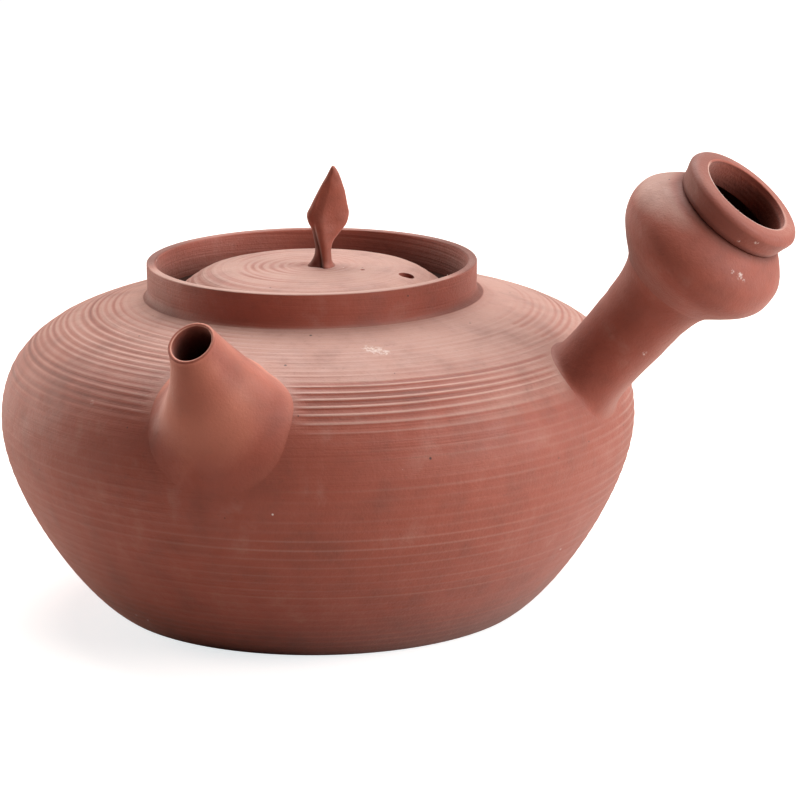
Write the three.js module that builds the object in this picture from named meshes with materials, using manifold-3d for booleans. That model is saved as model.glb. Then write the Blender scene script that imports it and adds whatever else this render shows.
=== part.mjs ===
// Unglazed clay side-handle kettle with a loose sunken lid.
// Millimetres, +Z up. The origin is the middle of the flat base, and the hollow handle
// points along +X. Every piece is turned on a wheel apart from the leaf-shaped lid knob.

import * as THREE from 'three';
import { mergeVertices } from 'three/addons/utils/BufferGeometryUtils.js';
import Module from 'manifold-3d';

const wasm = await Module();
wasm.setup();

// Vessel
const bellyRadius = 82.5;
const bellyHeight = 49.7;
const footRadius = 54.5;
const footReach = 12.6;
const footSlope = 33;
const lowerBellyPull = 16.5;
const upperBellyPull = 26.7;
const shoulderRise = 31.7;
const shoulderReach = 11.2;
const shoulderSlope = 20.6;
const vesselWall = 2.8;
const baseThickness = 3.6;
const ledgeThickness = 3.2;
const ledgeWidth = 7.2;
const cavityFloorReach = 14;

// Collar round the mouth
const collarRimRadius = 42.8;
const collarWall = 2.3;
const collarFlare = 0.7;
const collarBoreDraw = 0.9;
const collarHeight = 8;
const collarFlareHeight = 2.4;

// Lid
const lidSideClearance = 4.8;
const lidHeight = 7;
const lidShoulderInset = 0.6;
const lidShoulderHeight = 2;
const lidDomeFall = 0.18;
const lidDomeShare = 0.79;
const lidCrownShare = 0.86;
const lidEdgeHeight = 1;
const lidEdgeUndercut = 0.6;
const lidDishHeight = 4;
const locatingRingClearance = 1;
const locatingRingWall = 2.4;
const locatingRingDepth = 8;
const locatingRingInset = 0.6;
const dishInset = 0.4;
const ventRadius = 2.05;
const ventInset = 3;
const ventAzimuth = 6;

// Leaf-shaped knob, rolled from one piece of clay
const knobHeight = 26.4;
const knobOffset = 1.5;
const knobLean = 3.1;
const knobFacing = 27;
const leafHalfWidth = 5.4;
const leafThickness = 2.2;
const leafDish = 1.1;
const foldRadius = 0.7;
const knobRootDepth = 1.5;

// Hollow handle, its lengths measured along its axis, which rises at the angle above level
const handleAngle = 49.8;
const handleRootRise = 17.2;
const stemLength = 33.8;
const stemWaistRadius = 10.3;
const stemTopRadius = 12.1;
const stemRootRadius = 15.5;
const stemRootRun = 24;
const stemBoreRadius = 7.4;
const stemBoreRise = 8.45;
const stemRootDepth = 6.7;
const bulbLength = 23.5;
const bulbRadius = 21.7;
const creaseRadius = 12.9;
const grooveRadius = 14.9;
const handleWall = 3;
const endRingLength = 7;
const endRingRadius = 16;
const endRingFaceRadius = 14.2;
const handleMouthRadius = 11.3;
const mouthLipRound = 0.6;

// Spout, its lengths measured along its axis, which rises at the angle above level
const spoutAzimuth = -83.7;
const spoutYaw = -9.3;
const spoutAngle = 48;
const spoutRootRise = 23;
const spoutLength = 17.2;
const spoutLipRadius = 6.2;
const spoutLipWall = 1.1;
const spoutFlare = 13.6;
const spoutBoreFlare = 10.4;
const spoutRootDepth = 8.8;
const spoutSag = 4.2;
const spoutSpread = 7;
const pourHoleRadius = 8;

// Shared fits
const luteGap = 0.3;
const cutOverrun = 10;

// How sharply the flares bend: the power of the distance that each one grows with
const stemRootPower = 3;
const stemTopPower = 2;
const spoutPower = 1.75;
const wipePower = 2;

// Facets
const vesselSegments = 52;
const lidSegments = 48;
const handleSegments = 30;
const spoutSegments = 28;
const ventSegments = 12;
const bellySteps = 9;
const curveSteps = 6;
const sideSteps = 10;
const bulbSteps = 14;
const lipSteps = 4;
const knobSides = 20;

// Heights and radii that follow from the driving dimensions
const ledgeHeight = bellyHeight + shoulderRise;
const collarTop = ledgeHeight + collarHeight;
const collarFootRadius = collarRimRadius + collarFlare;
const collarBoreRadius = collarRimRadius - collarWall;
const collarSeatRadius = collarBoreRadius - collarBoreDraw;
const mouthRadius = collarSeatRadius - ledgeWidth;
const lidRadius = collarSeatRadius - lidSideClearance;
const lidShoulderRadius = lidRadius - lidShoulderInset;
const locatingRingRadius = mouthRadius - locatingRingClearance;
const locatingRingBore = locatingRingRadius - locatingRingWall;
const ventDistance = locatingRingBore - ventInset;
const up = new THREE.Vector2(0, 1);

function clay(name, color, roughness) {
  return new THREE.MeshStandardMaterial({ name, color, roughness, metalness: 0 });
}

const bodyClay = clay('body clay', '#a9654f', 0.92);
const collarClay = clay('collar clay', '#ad6b56', 0.9);
const spoutClay = clay('spout clay', '#a8644c', 0.88);
const handleClay = clay('handle clay', '#a25f4a', 0.86);
const lidClay = clay('lid clay', '#b9806c', 0.94);
const leafClay = clay('leaf clay', '#a8705c', 0.9);

const point = (radius, height) => new THREE.Vector2(radius, height);

// A cubic curve from one point to another; each end has its own handle point.
function curve(from, fromHandle, toHandle, to, steps) {
  return new THREE.CubicBezierCurve(from, fromHandle, toHandle, to).getPoints(steps);
}

// A point at a distance from a start along a slope, in degrees above the outward direction.
function along(start, distance, slope) {
  const angle = THREE.MathUtils.degToRad(slope);
  return point(start.x + distance * Math.cos(angle), start.y + distance * Math.sin(angle));
}

// An outline pushed sideways by a distance: positive is to the right of its run.
function offsetOutline(outline, distance) {
  return outline.map((spot, i) => {
    const before = outline[Math.max(i - 1, 0)];
    const after = outline[Math.min(i + 1, outline.length - 1)];
    const run = after.clone().sub(before).normalize();
    return point(spot.x + distance * run.y, spot.y - distance * run.x);
  });
}

// A half circle that rounds an edge from the outer wall over to the inner one.
function roundedLip(outerRadius, innerRadius, height, steps) {
  const middle = (outerRadius + innerRadius) / 2;
  const half = (outerRadius - innerRadius) / 2;
  return Array.from({ length: steps + 1 }, (_, i) => {
    const angle = (Math.PI * i) / steps;
    return point(middle + half * Math.cos(angle), height + half * Math.sin(angle));
  });
}

// A revolved outline with its axis on +Z. The outline starts and ends on the axis,
// or is a ring that this function closes.
function turned(outline, segments) {
  const closed = outline[0].x === 0 ? outline : [...outline, outline[0].clone()];
  return new THREE.LatheGeometry(closed, segments).rotateX(Math.PI / 2);
}

// A closed mesh as a solid, its shared corners joined and its faces pointing out.
function solid(geometry) {
  const bare = geometry.clone();
  bare.deleteAttribute('normal');
  bare.deleteAttribute('uv');
  const welded = mergeVertices(bare);
  const corners = welded.attributes.position.array;
  const index = welded.index.array;
  const faces = [];
  for (let i = 0; i < index.length; i += 3) {
    const [a, b, c] = index.slice(i, i + 3);
    if (a !== b && b !== c && c !== a) faces.push([a, b, c]);
  }
  const corner = (i) => new THREE.Vector3().fromArray(corners, 3 * i);
  const volume = faces.reduce((sum, [a, b, c]) => sum + corner(a).dot(corner(b).cross(corner(c))), 0);
  const outward = volume > 0 ? faces : faces.map(([a, b, c]) => [a, c, b]);
  const vertProperties = Float32Array.from(corners);
  const triVerts = Uint32Array.from(outward.flat());
  return new wasm.Manifold(new wasm.Mesh({ numProp: 3, vertProperties, triVerts }));
}

// A solid as a drawable geometry.
function geometryOf(body) {
  const { vertProperties, triVerts } = body.getMesh();
  const geometry = new THREE.BufferGeometry();
  geometry.setAttribute('position', new THREE.BufferAttribute(vertProperties, 3));
  geometry.setIndex(new THREE.BufferAttribute(triVerts, 1));
  geometry.computeVertexNormals();
  return geometry;
}

function named(name, body, material) {
  const mesh = new THREE.Mesh(geometryOf(body), material);
  mesh.name = name;
  return mesh;
}

// The vessel's outer outline from the base edge up to the collar.
function vesselOutline() {
  const foot = point(footRadius, 0);
  const belly = point(bellyRadius, bellyHeight);
  const top = point(collarFootRadius, ledgeHeight);
  const lower = curve(foot, along(foot, footReach, footSlope),
    point(bellyRadius, bellyHeight - lowerBellyPull), belly, bellySteps);
  const upper = curve(belly, point(bellyRadius, bellyHeight + upperBellyPull),
    along(top, shoulderReach, -shoulderSlope), top, bellySteps);
  return [...lower, ...upper.slice(1)];
}

const outerOutline = vesselOutline();

// The vessel's outer radius at a height between the belly and the ledge.
function shoulderRadius(height) {
  const above = outerOutline.findIndex((spot) => spot.y >= height && spot.y > bellyHeight);
  const low = outerOutline[above - 1];
  const high = outerOutline[above];
  return THREE.MathUtils.mapLinear(height, low.y, high.y, low.x, high.x);
}

// A frame whose +Z leaves the vessel along an axis, with zero where the axis meets the wall.
// The yaw turns the axis off the straight way out.
function rootFrame(azimuth, angle, rise, yaw) {
  const height = bellyHeight + rise;
  const frame = new THREE.Group();
  const turn = THREE.MathUtils.degToRad(azimuth);
  const radius = shoulderRadius(height);
  const heading = THREE.MathUtils.degToRad(azimuth + yaw);
  frame.rotation.set(0, THREE.MathUtils.degToRad(90 - angle), heading, 'ZYX');
  frame.position.set(radius * Math.cos(turn), radius * Math.sin(turn), height);
  frame.updateMatrixWorld();
  return frame;
}

const handle = rootFrame(0, handleAngle, handleRootRise, 0);
const spoutFrame = rootFrame(spoutAzimuth, spoutAngle, spoutRootRise, spoutYaw);

// The filled vessel, larger by the luting gap, that trims what is luted on, in a frame of its own.
function vesselTrim(frame) {
  const grown = offsetOutline(outerOutline, luteGap);
  const outline = [point(0, 0), ...grown, point(0, ledgeHeight + luteGap)];
  return solid(turned(outline, vesselSegments).applyMatrix4(frame.matrixWorld.clone().invert()));
}

function vesselBody() {
  const inner = offsetOutline(outerOutline, -vesselWall);
  const wallBottom = baseThickness + vesselWall;
  const wallTop = ledgeHeight - ledgeThickness;
  const wall = inner.filter((spot) => spot.y > wallBottom && spot.y < wallTop);
  const underLedge = point(mouthRadius, wallTop);
  const floorEdge = point(wall[0].x - cavityFloorReach, baseThickness);
  const outline = [
    point(0, 0), ...outerOutline, point(mouthRadius, ledgeHeight), underLedge, ...wall.reverse(),
    floorEdge, point(0, baseThickness),
  ];
  const hole = new THREE.CylinderGeometry(pourHoleRadius, pourHoleRadius, 2 * cutOverrun, spoutSegments);
  hole.rotateX(Math.PI / 2).applyMatrix4(spoutFrame.matrixWorld);
  return named('vessel_body', solid(turned(outline, vesselSegments)).subtract(solid(hole)), bodyClay);
}

function neckCollar() {
  const lipHeight = collarTop - (collarRimRadius - collarBoreRadius) / 2;
  const foot = point(collarFootRadius, ledgeHeight);
  const flareTop = point(collarRimRadius, ledgeHeight + collarFlareHeight);
  const flare = curve(foot, point(collarRimRadius, ledgeHeight + collarFlareHeight / 2),
    flareTop, flareTop.clone().addScaledVector(up, collarFlareHeight / 2), curveSteps);
  const lip = roundedLip(collarRimRadius, collarBoreRadius, lipHeight, lipSteps);
  const outline = [...flare, ...lip, point(collarSeatRadius, ledgeHeight)];
  return named('neck_collar', solid(turned(outline, vesselSegments)), collarClay);
}

// The lid's domed top from its edge in to the middle.
function lidTopOutline() {
  const edge = point(lidRadius, ledgeHeight + lidEdgeHeight);
  const shoulder = point(lidShoulderRadius, ledgeHeight + lidShoulderHeight);
  const crown = point(0, ledgeHeight + lidHeight);
  const bend = curve(edge, point(lidRadius, (edge.y + shoulder.y) / 2),
    point((lidRadius + lidShoulderRadius) / 2, (2 * shoulder.y + edge.y) / 3), shoulder, curveSteps);
  const dome = curve(shoulder, point(lidShoulderRadius * lidDomeShare, crown.y - lidDomeFall),
    point(lidShoulderRadius * lidCrownShare, crown.y), crown, curveSteps);
  return [...bend, ...dome.slice(1)];
}

function lidPlate() {
  const seatInner = locatingRingBore - dishInset;
  const dishTop = ledgeHeight + lidDishHeight;
  const underside = curve(point(0, dishTop), point(seatInner / 2, dishTop),
    point(seatInner, (dishTop + ledgeHeight) / 2), point(seatInner, ledgeHeight), curveSteps);
  const outline = [...underside, point(lidRadius - lidEdgeUndercut, ledgeHeight), ...lidTopOutline()];
  const vent = new THREE.CylinderGeometry(ventRadius, ventRadius, 2 * cutOverrun, ventSegments);
  vent.rotateX(Math.PI / 2).translate(ventDistance, 0, ledgeHeight);
  vent.rotateZ(THREE.MathUtils.degToRad(ventAzimuth));
  return named('lid_plate', solid(turned(outline, lidSegments)).subtract(solid(vent)), lidClay);
}

function lidLocatingRing() {
  const bottom = ledgeHeight - locatingRingDepth;
  const outline = [
    point(locatingRingBore, ledgeHeight), point(locatingRingBore, bottom),
    point(locatingRingRadius - locatingRingInset, bottom), point(locatingRingRadius, ledgeHeight),
  ];
  return named('lid_locating_ring', solid(turned(outline, lidSegments)), lidClay);
}

// Stations up the knob: share of its height, of its lean, of the leaf's half width, of the half
// thickness, and of the dish and the folded edge.
const leafShares = [
  [0, 0, 0.70, 3.45, 0, 0],
  [0.05, 0, 0.51, 2.5, 0, 0],
  [0.10, 0.05, 0.42, 2.05, 0, 0.1],
  [0.18, 0.13, 0.40, 1.9, 0, 0.3],
  [0.26, 0.20, 0.48, 1.75, 0.1, 0.7],
  [0.36, 0.46, 0.74, 1.3, 0.6, 1],
  [0.45, 0.50, 0.97, 1.05, 1, 1],
  [0.51, 0.53, 1, 1, 1, 1],
  [0.58, 0.60, 0.93, 0.98, 1, 0.9],
  [0.66, 0.70, 0.78, 0.95, 0.9, 0.8],
  [0.77, 0.86, 0.57, 0.9, 0.7, 0.6],
  [0.87, 0.97, 0.38, 0.85, 0.4, 0.4],
  [0.94, 1, 0.22, 0.75, 0.2, 0.2],
  [1, 1, 0.07, 0.5, 0, 0],
];

// One level section of the knob: a flat oval, dished towards -Y, with its left edge rolled thicker.
function leafSection([rise, lean, width, thickness, dish, fold]) {
  const halfWidth = leafHalfWidth * width;
  const halfThickness = (leafThickness / 2) * thickness;
  return Array.from({ length: knobSides }, (_, i) => {
    const angle = (2 * Math.PI * i) / knobSides;
    const side = Math.cos(angle);
    const rolled = foldRadius * fold * Math.max(-side, 0);
    const across = halfWidth * side + knobLean * lean;
    const deep = (halfThickness + rolled) * Math.sin(angle) - leafDish * dish * side * side;
    return new THREE.Vector3(across, deep, knobHeight * rise);
  });
}

// A skin through level rings of points, closed by a flat fan at each end.
function lofted(rings) {
  const sides = rings[0].length;
  const middle = (ring) => ring.reduce((sum, spot) => sum.add(spot), new THREE.Vector3()).divideScalar(sides);
  const spots = [...rings.flat(), middle(rings[0]), middle(rings.at(-1))];
  const low = rings.length * sides;
  const faces = [];
  for (let j = 0; j < sides; j += 1) {
    const next = (j + 1) % sides;
    for (let i = 0; i < low - sides; i += sides) {
      faces.push(i + j, i + next, i + sides + next, i + j, i + sides + next, i + sides + j);
    }
    faces.push(low, next, j, low + 1, low - sides + j, low - sides + next);
  }
  const geometry = new THREE.BufferGeometry().setFromPoints(spots);
  return geometry.setIndex(faces);
}

function lidKnob() {
  const rings = leafShares.map(leafSection);
  const root = leafSection(leafShares[0]).map((spot) => spot.setZ(-knobRootDepth));
  const facing = THREE.MathUtils.degToRad(knobFacing);
  const skin = lofted([root, ...rings]).translate(knobOffset, 0, ledgeHeight + lidHeight).rotateZ(facing);
  const raised = lidTopOutline().map((spot) => spot.addScaledVector(up, luteGap));
  const trim = turned([point(0, 0), point(lidRadius, 0), ...raised], lidSegments);
  return named('lid_knob', solid(skin).subtract(solid(trim)), leafClay);
}

// Distances up the handle's axis from the vessel wall
const creaseAt = stemLength;
const grooveAt = creaseAt + bulbLength;
const handleMouthAt = grooveAt + endRingLength;

// The stem's outer radius at a distance up the axis: a waist, flared at both ends.
function stemRadius(distance) {
  const waistAt = stemRootRun - stemRootDepth;
  const down = Math.max((waistAt - distance) / stemRootRun, 0);
  const rise = Math.max((distance - waistAt) / (creaseAt - waistAt), 0);
  const rootFlare = (stemRootRadius - stemWaistRadius) * down ** stemRootPower;
  return stemWaistRadius + rootFlare + (stemTopRadius - stemWaistRadius) * rise ** stemTopPower;
}

function handleStem() {
  const top = creaseAt - luteGap / 2;
  const outer = Array.from({ length: sideSteps + 1 }, (_, i) => {
    const distance = THREE.MathUtils.lerp(-stemRootDepth, top, i / sideSteps);
    return point(stemRadius(distance), distance);
  });
  const bore = [
    point(stemBoreRadius, top), point(stemBoreRadius, stemBoreRise),
    point(outer[0].x - handleWall, -stemRootDepth),
  ];
  const body = solid(turned([...outer, ...bore], handleSegments)).subtract(vesselTrim(handle));
  return named('handle_stem', body, handleClay);
}

// Shares of the run from an end of the bulb to its widest ring, and of the swell over that run.
const bulbUpperShares = [[0, 0], [0.14, 0.27], [0.32, 0.54], [0.64, 0.89], [1, 1]];
const bulbLowerShares = [[0, 0], [0.12, 0.18], [0.36, 0.57], [0.68, 0.9], [1, 1]];
const bulbWidestShare = 0.53;

// The bulb's side, moved in by a wall, from the crease up to the groove.
function bulbSide(inset, steps) {
  const bottom = creaseAt + luteGap / 2;
  const top = grooveAt - luteGap / 2;
  const widest = THREE.MathUtils.lerp(bottom, top, bulbWidestShare);
  const spot = (radius, share, end, swell) =>
    point(radius + (bulbRadius - radius) * swell - inset, THREE.MathUtils.lerp(end, widest, share));
  const lower = bulbLowerShares.map(([share, swell]) => spot(creaseRadius, share, bottom, swell));
  const upper = bulbUpperShares.map(([share, swell]) => spot(grooveRadius, share, top, swell));
  return new THREE.SplineCurve([...lower, ...upper.reverse().slice(1)]).getPoints(steps);
}

function handleBulb() {
  const outer = bulbSide(0, bulbSteps);
  const hollow = bulbSide(handleWall, bulbSteps - 2).slice(1, -1);
  const top = outer.at(-1).y;
  const bottom = outer[0].y;
  const outline = [
    ...outer, point(handleMouthRadius, top), ...hollow.reverse(), point(stemBoreRadius, bottom),
  ];
  return named('handle_bulb', solid(turned(outline, handleSegments)), handleClay);
}

// Shares of the end ring's length down from its face, and of its swell beyond the face.
const endRingShares = [[0, 0], [0.05, 0.35], [0.16, 0.7], [0.34, 0.95], [0.55, 1], [0.75, 0.82], [0.9, 0.45]];

function handleEndRing() {
  const bottom = grooveAt + luteGap / 2;
  const swell = endRingRadius - endRingFaceRadius;
  const outer = endRingShares.map(([share, out]) =>
    point(endRingFaceRadius + swell * out, THREE.MathUtils.lerp(handleMouthAt, bottom, share)));
  const outline = [
    point(handleMouthRadius, bottom), point(handleMouthRadius, handleMouthAt - mouthLipRound),
    point(handleMouthRadius + mouthLipRound, handleMouthAt), ...outer, point(grooveRadius, bottom),
  ];
  return named('handle_end_ring', solid(turned(outline, handleSegments)), handleClay);
}

// A cone along the spout's axis that opens towards the vessel.
function spoutSide(radius, flare, top) {
  const run = spoutLength + spoutRootDepth;
  return Array.from({ length: sideSteps + 1 }, (_, i) => {
    const distance = THREE.MathUtils.lerp(top, -spoutRootDepth, i / sideSteps);
    return point(radius + flare * ((spoutLength - distance) / run) ** spoutPower, distance);
  });
}

// The spout's root, drawn down the vessel's wall and spread along it, more with depth.
function wiped(geometry) {
  const spots = geometry.attributes.position;
  for (let i = 0; i < spots.count; i += 1) {
    const depth = ((spoutLength - spots.getZ(i)) / (spoutLength + spoutRootDepth)) ** wipePower;
    const spread = 1 + (spoutSpread / (spoutLipRadius + spoutFlare)) * depth;
    spots.setXY(i, spots.getX(i) + spoutSag * depth, spots.getY(i) * spread);
  }
  return geometry;
}

function spout() {
  const boreRadius = spoutLipRadius - spoutLipWall;
  const lipAt = spoutLength - spoutLipWall / 2;
  const lip = roundedLip(spoutLipRadius, boreRadius, lipAt, lipSteps);
  const outer = spoutSide(spoutLipRadius, spoutFlare, lipAt).slice(1);
  const bore = spoutSide(boreRadius, spoutBoreFlare, lipAt).slice(1);
  const outline = [...lip, ...bore, ...outer.reverse()];
  const body = solid(wiped(turned(outline, spoutSegments))).subtract(vesselTrim(spoutFrame));
  return named('spout', body, spoutClay);
}

const group = new THREE.Group();
handle.add(handleStem(), handleBulb(), handleEndRing());
spoutFrame.add(spout());
group.add(vesselBody(), neckCollar(), spoutFrame, handle, lidPlate(), lidLocatingRing(), lidKnob());

export default group;
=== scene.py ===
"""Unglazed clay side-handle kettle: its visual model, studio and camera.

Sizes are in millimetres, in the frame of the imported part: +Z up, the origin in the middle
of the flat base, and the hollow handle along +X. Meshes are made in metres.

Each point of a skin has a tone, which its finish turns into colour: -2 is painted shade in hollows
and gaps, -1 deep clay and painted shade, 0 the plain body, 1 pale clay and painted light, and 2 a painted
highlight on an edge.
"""

import logging
import math
from dataclasses import dataclass, field
from enum import Enum, IntEnum
from typing import Sequence

import bpy
import numpy as np
from mathutils import Matrix, Vector


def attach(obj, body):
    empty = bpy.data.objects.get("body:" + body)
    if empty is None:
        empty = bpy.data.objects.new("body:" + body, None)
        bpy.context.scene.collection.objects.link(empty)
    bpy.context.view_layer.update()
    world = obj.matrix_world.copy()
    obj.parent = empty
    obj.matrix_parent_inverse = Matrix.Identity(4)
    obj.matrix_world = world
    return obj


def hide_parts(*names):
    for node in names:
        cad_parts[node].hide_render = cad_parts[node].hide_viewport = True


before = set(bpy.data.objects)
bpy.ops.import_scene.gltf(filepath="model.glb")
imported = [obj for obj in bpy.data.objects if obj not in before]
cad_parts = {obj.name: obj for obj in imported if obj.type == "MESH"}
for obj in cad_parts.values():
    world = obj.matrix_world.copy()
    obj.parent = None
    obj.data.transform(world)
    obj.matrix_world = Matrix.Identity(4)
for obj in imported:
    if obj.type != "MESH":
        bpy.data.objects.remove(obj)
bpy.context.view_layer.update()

log = logging.getLogger("kettle")
MM = 0.001
FULL_TURN = 2 * math.pi
CREASE_ANGLE = 40
PALE_GRIT = (0.80, 0.70, 0.64)
DARK_PIT = (0.05, 0.02, 0.015)
CHALK = (0.72, 0.56, 0.51)
WHITE = (1, 1, 1)
# Tones of painted shade: under the base and the lid, in the pour hole, inside the vessel and the lid's holes,
# in the stem's bore, in the bulb's hollow and in the gap round the lid.
BASE_SHADE_TONE, UNDERSIDE_SHADE_TONE, POUR_HOLE_SHADE_TONE, INSIDE_SHADE_TONE = -0.1, -0.15, -0.3, -0.4
STEM_BORE_SHADE_TONE, HOLLOW_SHADE_TONE, LID_GAP_SHADE_TONE = -0.8, -1.8, -1.9

Array = np.ndarray
Socket = bpy.types.NodeSocket
Piece = bpy.types.Object
Point = Colour = tuple[float, float, float]
Table = tuple[tuple[float, ...], ...]


class Body(Enum):
    """The bodies of the part that pieces ride on."""

    KETTLE = "kettle"
    LID = "lid"


class Slot(Enum):
    """The material slots of the part's record."""

    BODY = "body_clay"
    COLLAR = "collar_clay"
    SPOUT = "spout_clay"
    HANDLE = "handle_clay"
    LID = "lid_clay"
    LEAF = "leaf_clay"


class Turning(Enum):
    """Whether fine turning lines run over a clay surface."""

    ABOUT_AXIS = "level lines round the upright axis"
    WIPED = "no turning lines"


class Seed(IntEnum):
    """The seeds of the noise, by what it makes uneven."""

    THROWING = 7
    LID_TRAIL = 17
    LID_KNOB_DARKENING = 19
    SPOUT_TONE = 31
    STEM = 41
    BULB = 43
    COLLAR = 61
    COLLAR_TONE = 62
    LEAF = 71


# ---- curves, angles and noise


def bezier(start: Array, start_handle: Array, end_handle: Array, end: Array, count: int) -> Array:
    """Points on a cubic curve.

    Args:
        start: Where the curve starts; any shape that the other points share.
        start_handle: The handle point of the start.
        end_handle: The handle point of the end.
        end: Where the curve ends.
        count: How many points to give.

    Returns:
        The points, stacked along a new first axis.
    """
    t = np.linspace(0, 1, count).reshape((count,) + (1,) * np.ndim(start))
    near = (1 - t) ** 3 * start + 3 * t * (1 - t) ** 2 * start_handle
    return near + 3 * t**2 * (1 - t) * end_handle + t**3 * end


def spot(radius: float, height: float) -> Array:
    """A point of a section, as its radius and height."""
    return np.array([radius, height], float)


def smooth_step(low: float, high: float, value: Array) -> Array:
    """A smooth rise from 0 at low to 1 at high."""
    share = np.clip((value - low) / (high - low), 0, 1)
    return share * share * (3 - 2 * share)


def bump(value: Array, middle: float | Array, width: float) -> Array:
    """A smooth bump of height 1 that falls off by its width to both sides."""
    return np.exp(-(((value - middle) / width) ** 2))


def along(count: int) -> Array:
    """Even shares from 0 to 1, as one column."""
    return np.linspace(0, 1, count)[:, None]


def turn_angles(around: int) -> Array:
    """Evenly spaced angles once around."""
    return np.arange(around) * FULL_TURN / around


def turns(around: int) -> Array:
    """Evenly spaced places once around in whole turns, as one row."""
    return turn_angles(around)[None] / FULL_TURN


def signed(degrees: Array) -> Array:
    """Angles in degrees, brought to between -180 and 180."""
    return np.mod(degrees + 180, 360) - 180


def level_rays(angles: Array) -> Array:
    """Level unit vectors at angles."""
    return np.stack([np.cos(angles), np.sin(angles), np.zeros_like(angles)], axis=-1)


def unit(vectors: Array) -> Array:
    """Vectors brought to length 1."""
    return vectors / np.linalg.norm(vectors, axis=-1, keepdims=True)


def run_lengths(outline: Array) -> Array:
    """The length along an outline up to each of its points."""
    return np.concatenate([[0], np.cumsum(np.linalg.norm(np.diff(outline, axis=0), axis=1))])


def even(outline: Array, spacing: float) -> Array:
    """An outline again, with its points evenly apart.

    Args:
        outline: Points of the outline, one in each row.
        spacing: The greatest distance between two of the new points.

    Returns:
        The new points, with both ends kept.
    """
    runs = run_lengths(outline)
    places = np.linspace(0, runs[-1], max(2, math.ceil(runs[-1] / spacing) + 1))
    return np.stack([np.interp(places, runs, column) for column in outline.T], axis=1)


def spline(stations: Sequence[Sequence[float]], places: Array) -> Array:
    """Values between stations, smooth in between.

    Args:
        stations: Rows of a place and its values, in rising order of place.
        places: Where the values are wanted.

    Returns:
        One row of values for each place.
    """
    table = np.asarray(stations, float)
    keys, values = table[:, 0], table[:, 1:]
    slopes = np.gradient(values, keys, axis=0)
    places = np.clip(places, keys[0], keys[-1])
    low = np.clip(np.searchsorted(keys, places, side="right") - 1, 0, len(keys) - 2)
    width = (keys[low + 1] - keys[low])[:, None]
    t = ((places - keys[low]) / width[:, 0])[:, None]
    rise = values[low] * (2 * t**3 - 3 * t**2 + 1) + values[low + 1] * (3 * t**2 - 2 * t**3)
    bend = slopes[low] * (t**3 - 2 * t**2 + t) + slopes[low + 1] * (t**3 - t**2)
    return rise + bend * width


@dataclass(frozen=True)
class SmoothNoise:
    """Seeded noise over a skin that closes on itself around a turn."""

    seed: int
    around: int
    along: int

    def sample(self, turn: Array, run: Array) -> Array:
        """Noise of about unit spread.

        Args:
            turn: Place around the skin, in whole turns.
            run: Place along the skin, from 0 to 1.

        Returns:
            One value for each place.
        """
        lattice = np.random.default_rng(self.seed).standard_normal((self.along + 2, self.around))
        column, row = np.mod(turn, 1.0) * self.around, np.clip(run, 0, 1) * self.along
        left, low = np.floor(column).astype(int), np.floor(row).astype(int)
        across, up = smooth_step(0, 1, column - left), smooth_step(0, 1, row - low)
        left, right = left % self.around, (left + 1) % self.around
        bottom = lattice[low, left] * (1 - across) + lattice[low, right] * across
        top = lattice[low + 1, left] * (1 - across) + lattice[low + 1, right] * across
        return bottom * (1 - up) + top * up


# ---- meshes


def put(name: str, data: bpy.types.ID) -> Piece:
    """Makes an object of its data.

    Args:
        name: The object's name.
        data: Its mesh, lamp or camera.

    Returns:
        The object, linked to the scene.
    """
    thing = bpy.data.objects.new(name, data)
    bpy.context.scene.collection.objects.link(thing)
    return thing


def smooth(mesh: bpy.types.Mesh, crease_angle: float = CREASE_ANGLE) -> None:
    """Shades a mesh smooth, but for edges sharper than some degrees."""
    mesh.shade_smooth()
    mesh.set_sharp_from_angle(angle=math.radians(crease_angle))


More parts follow.
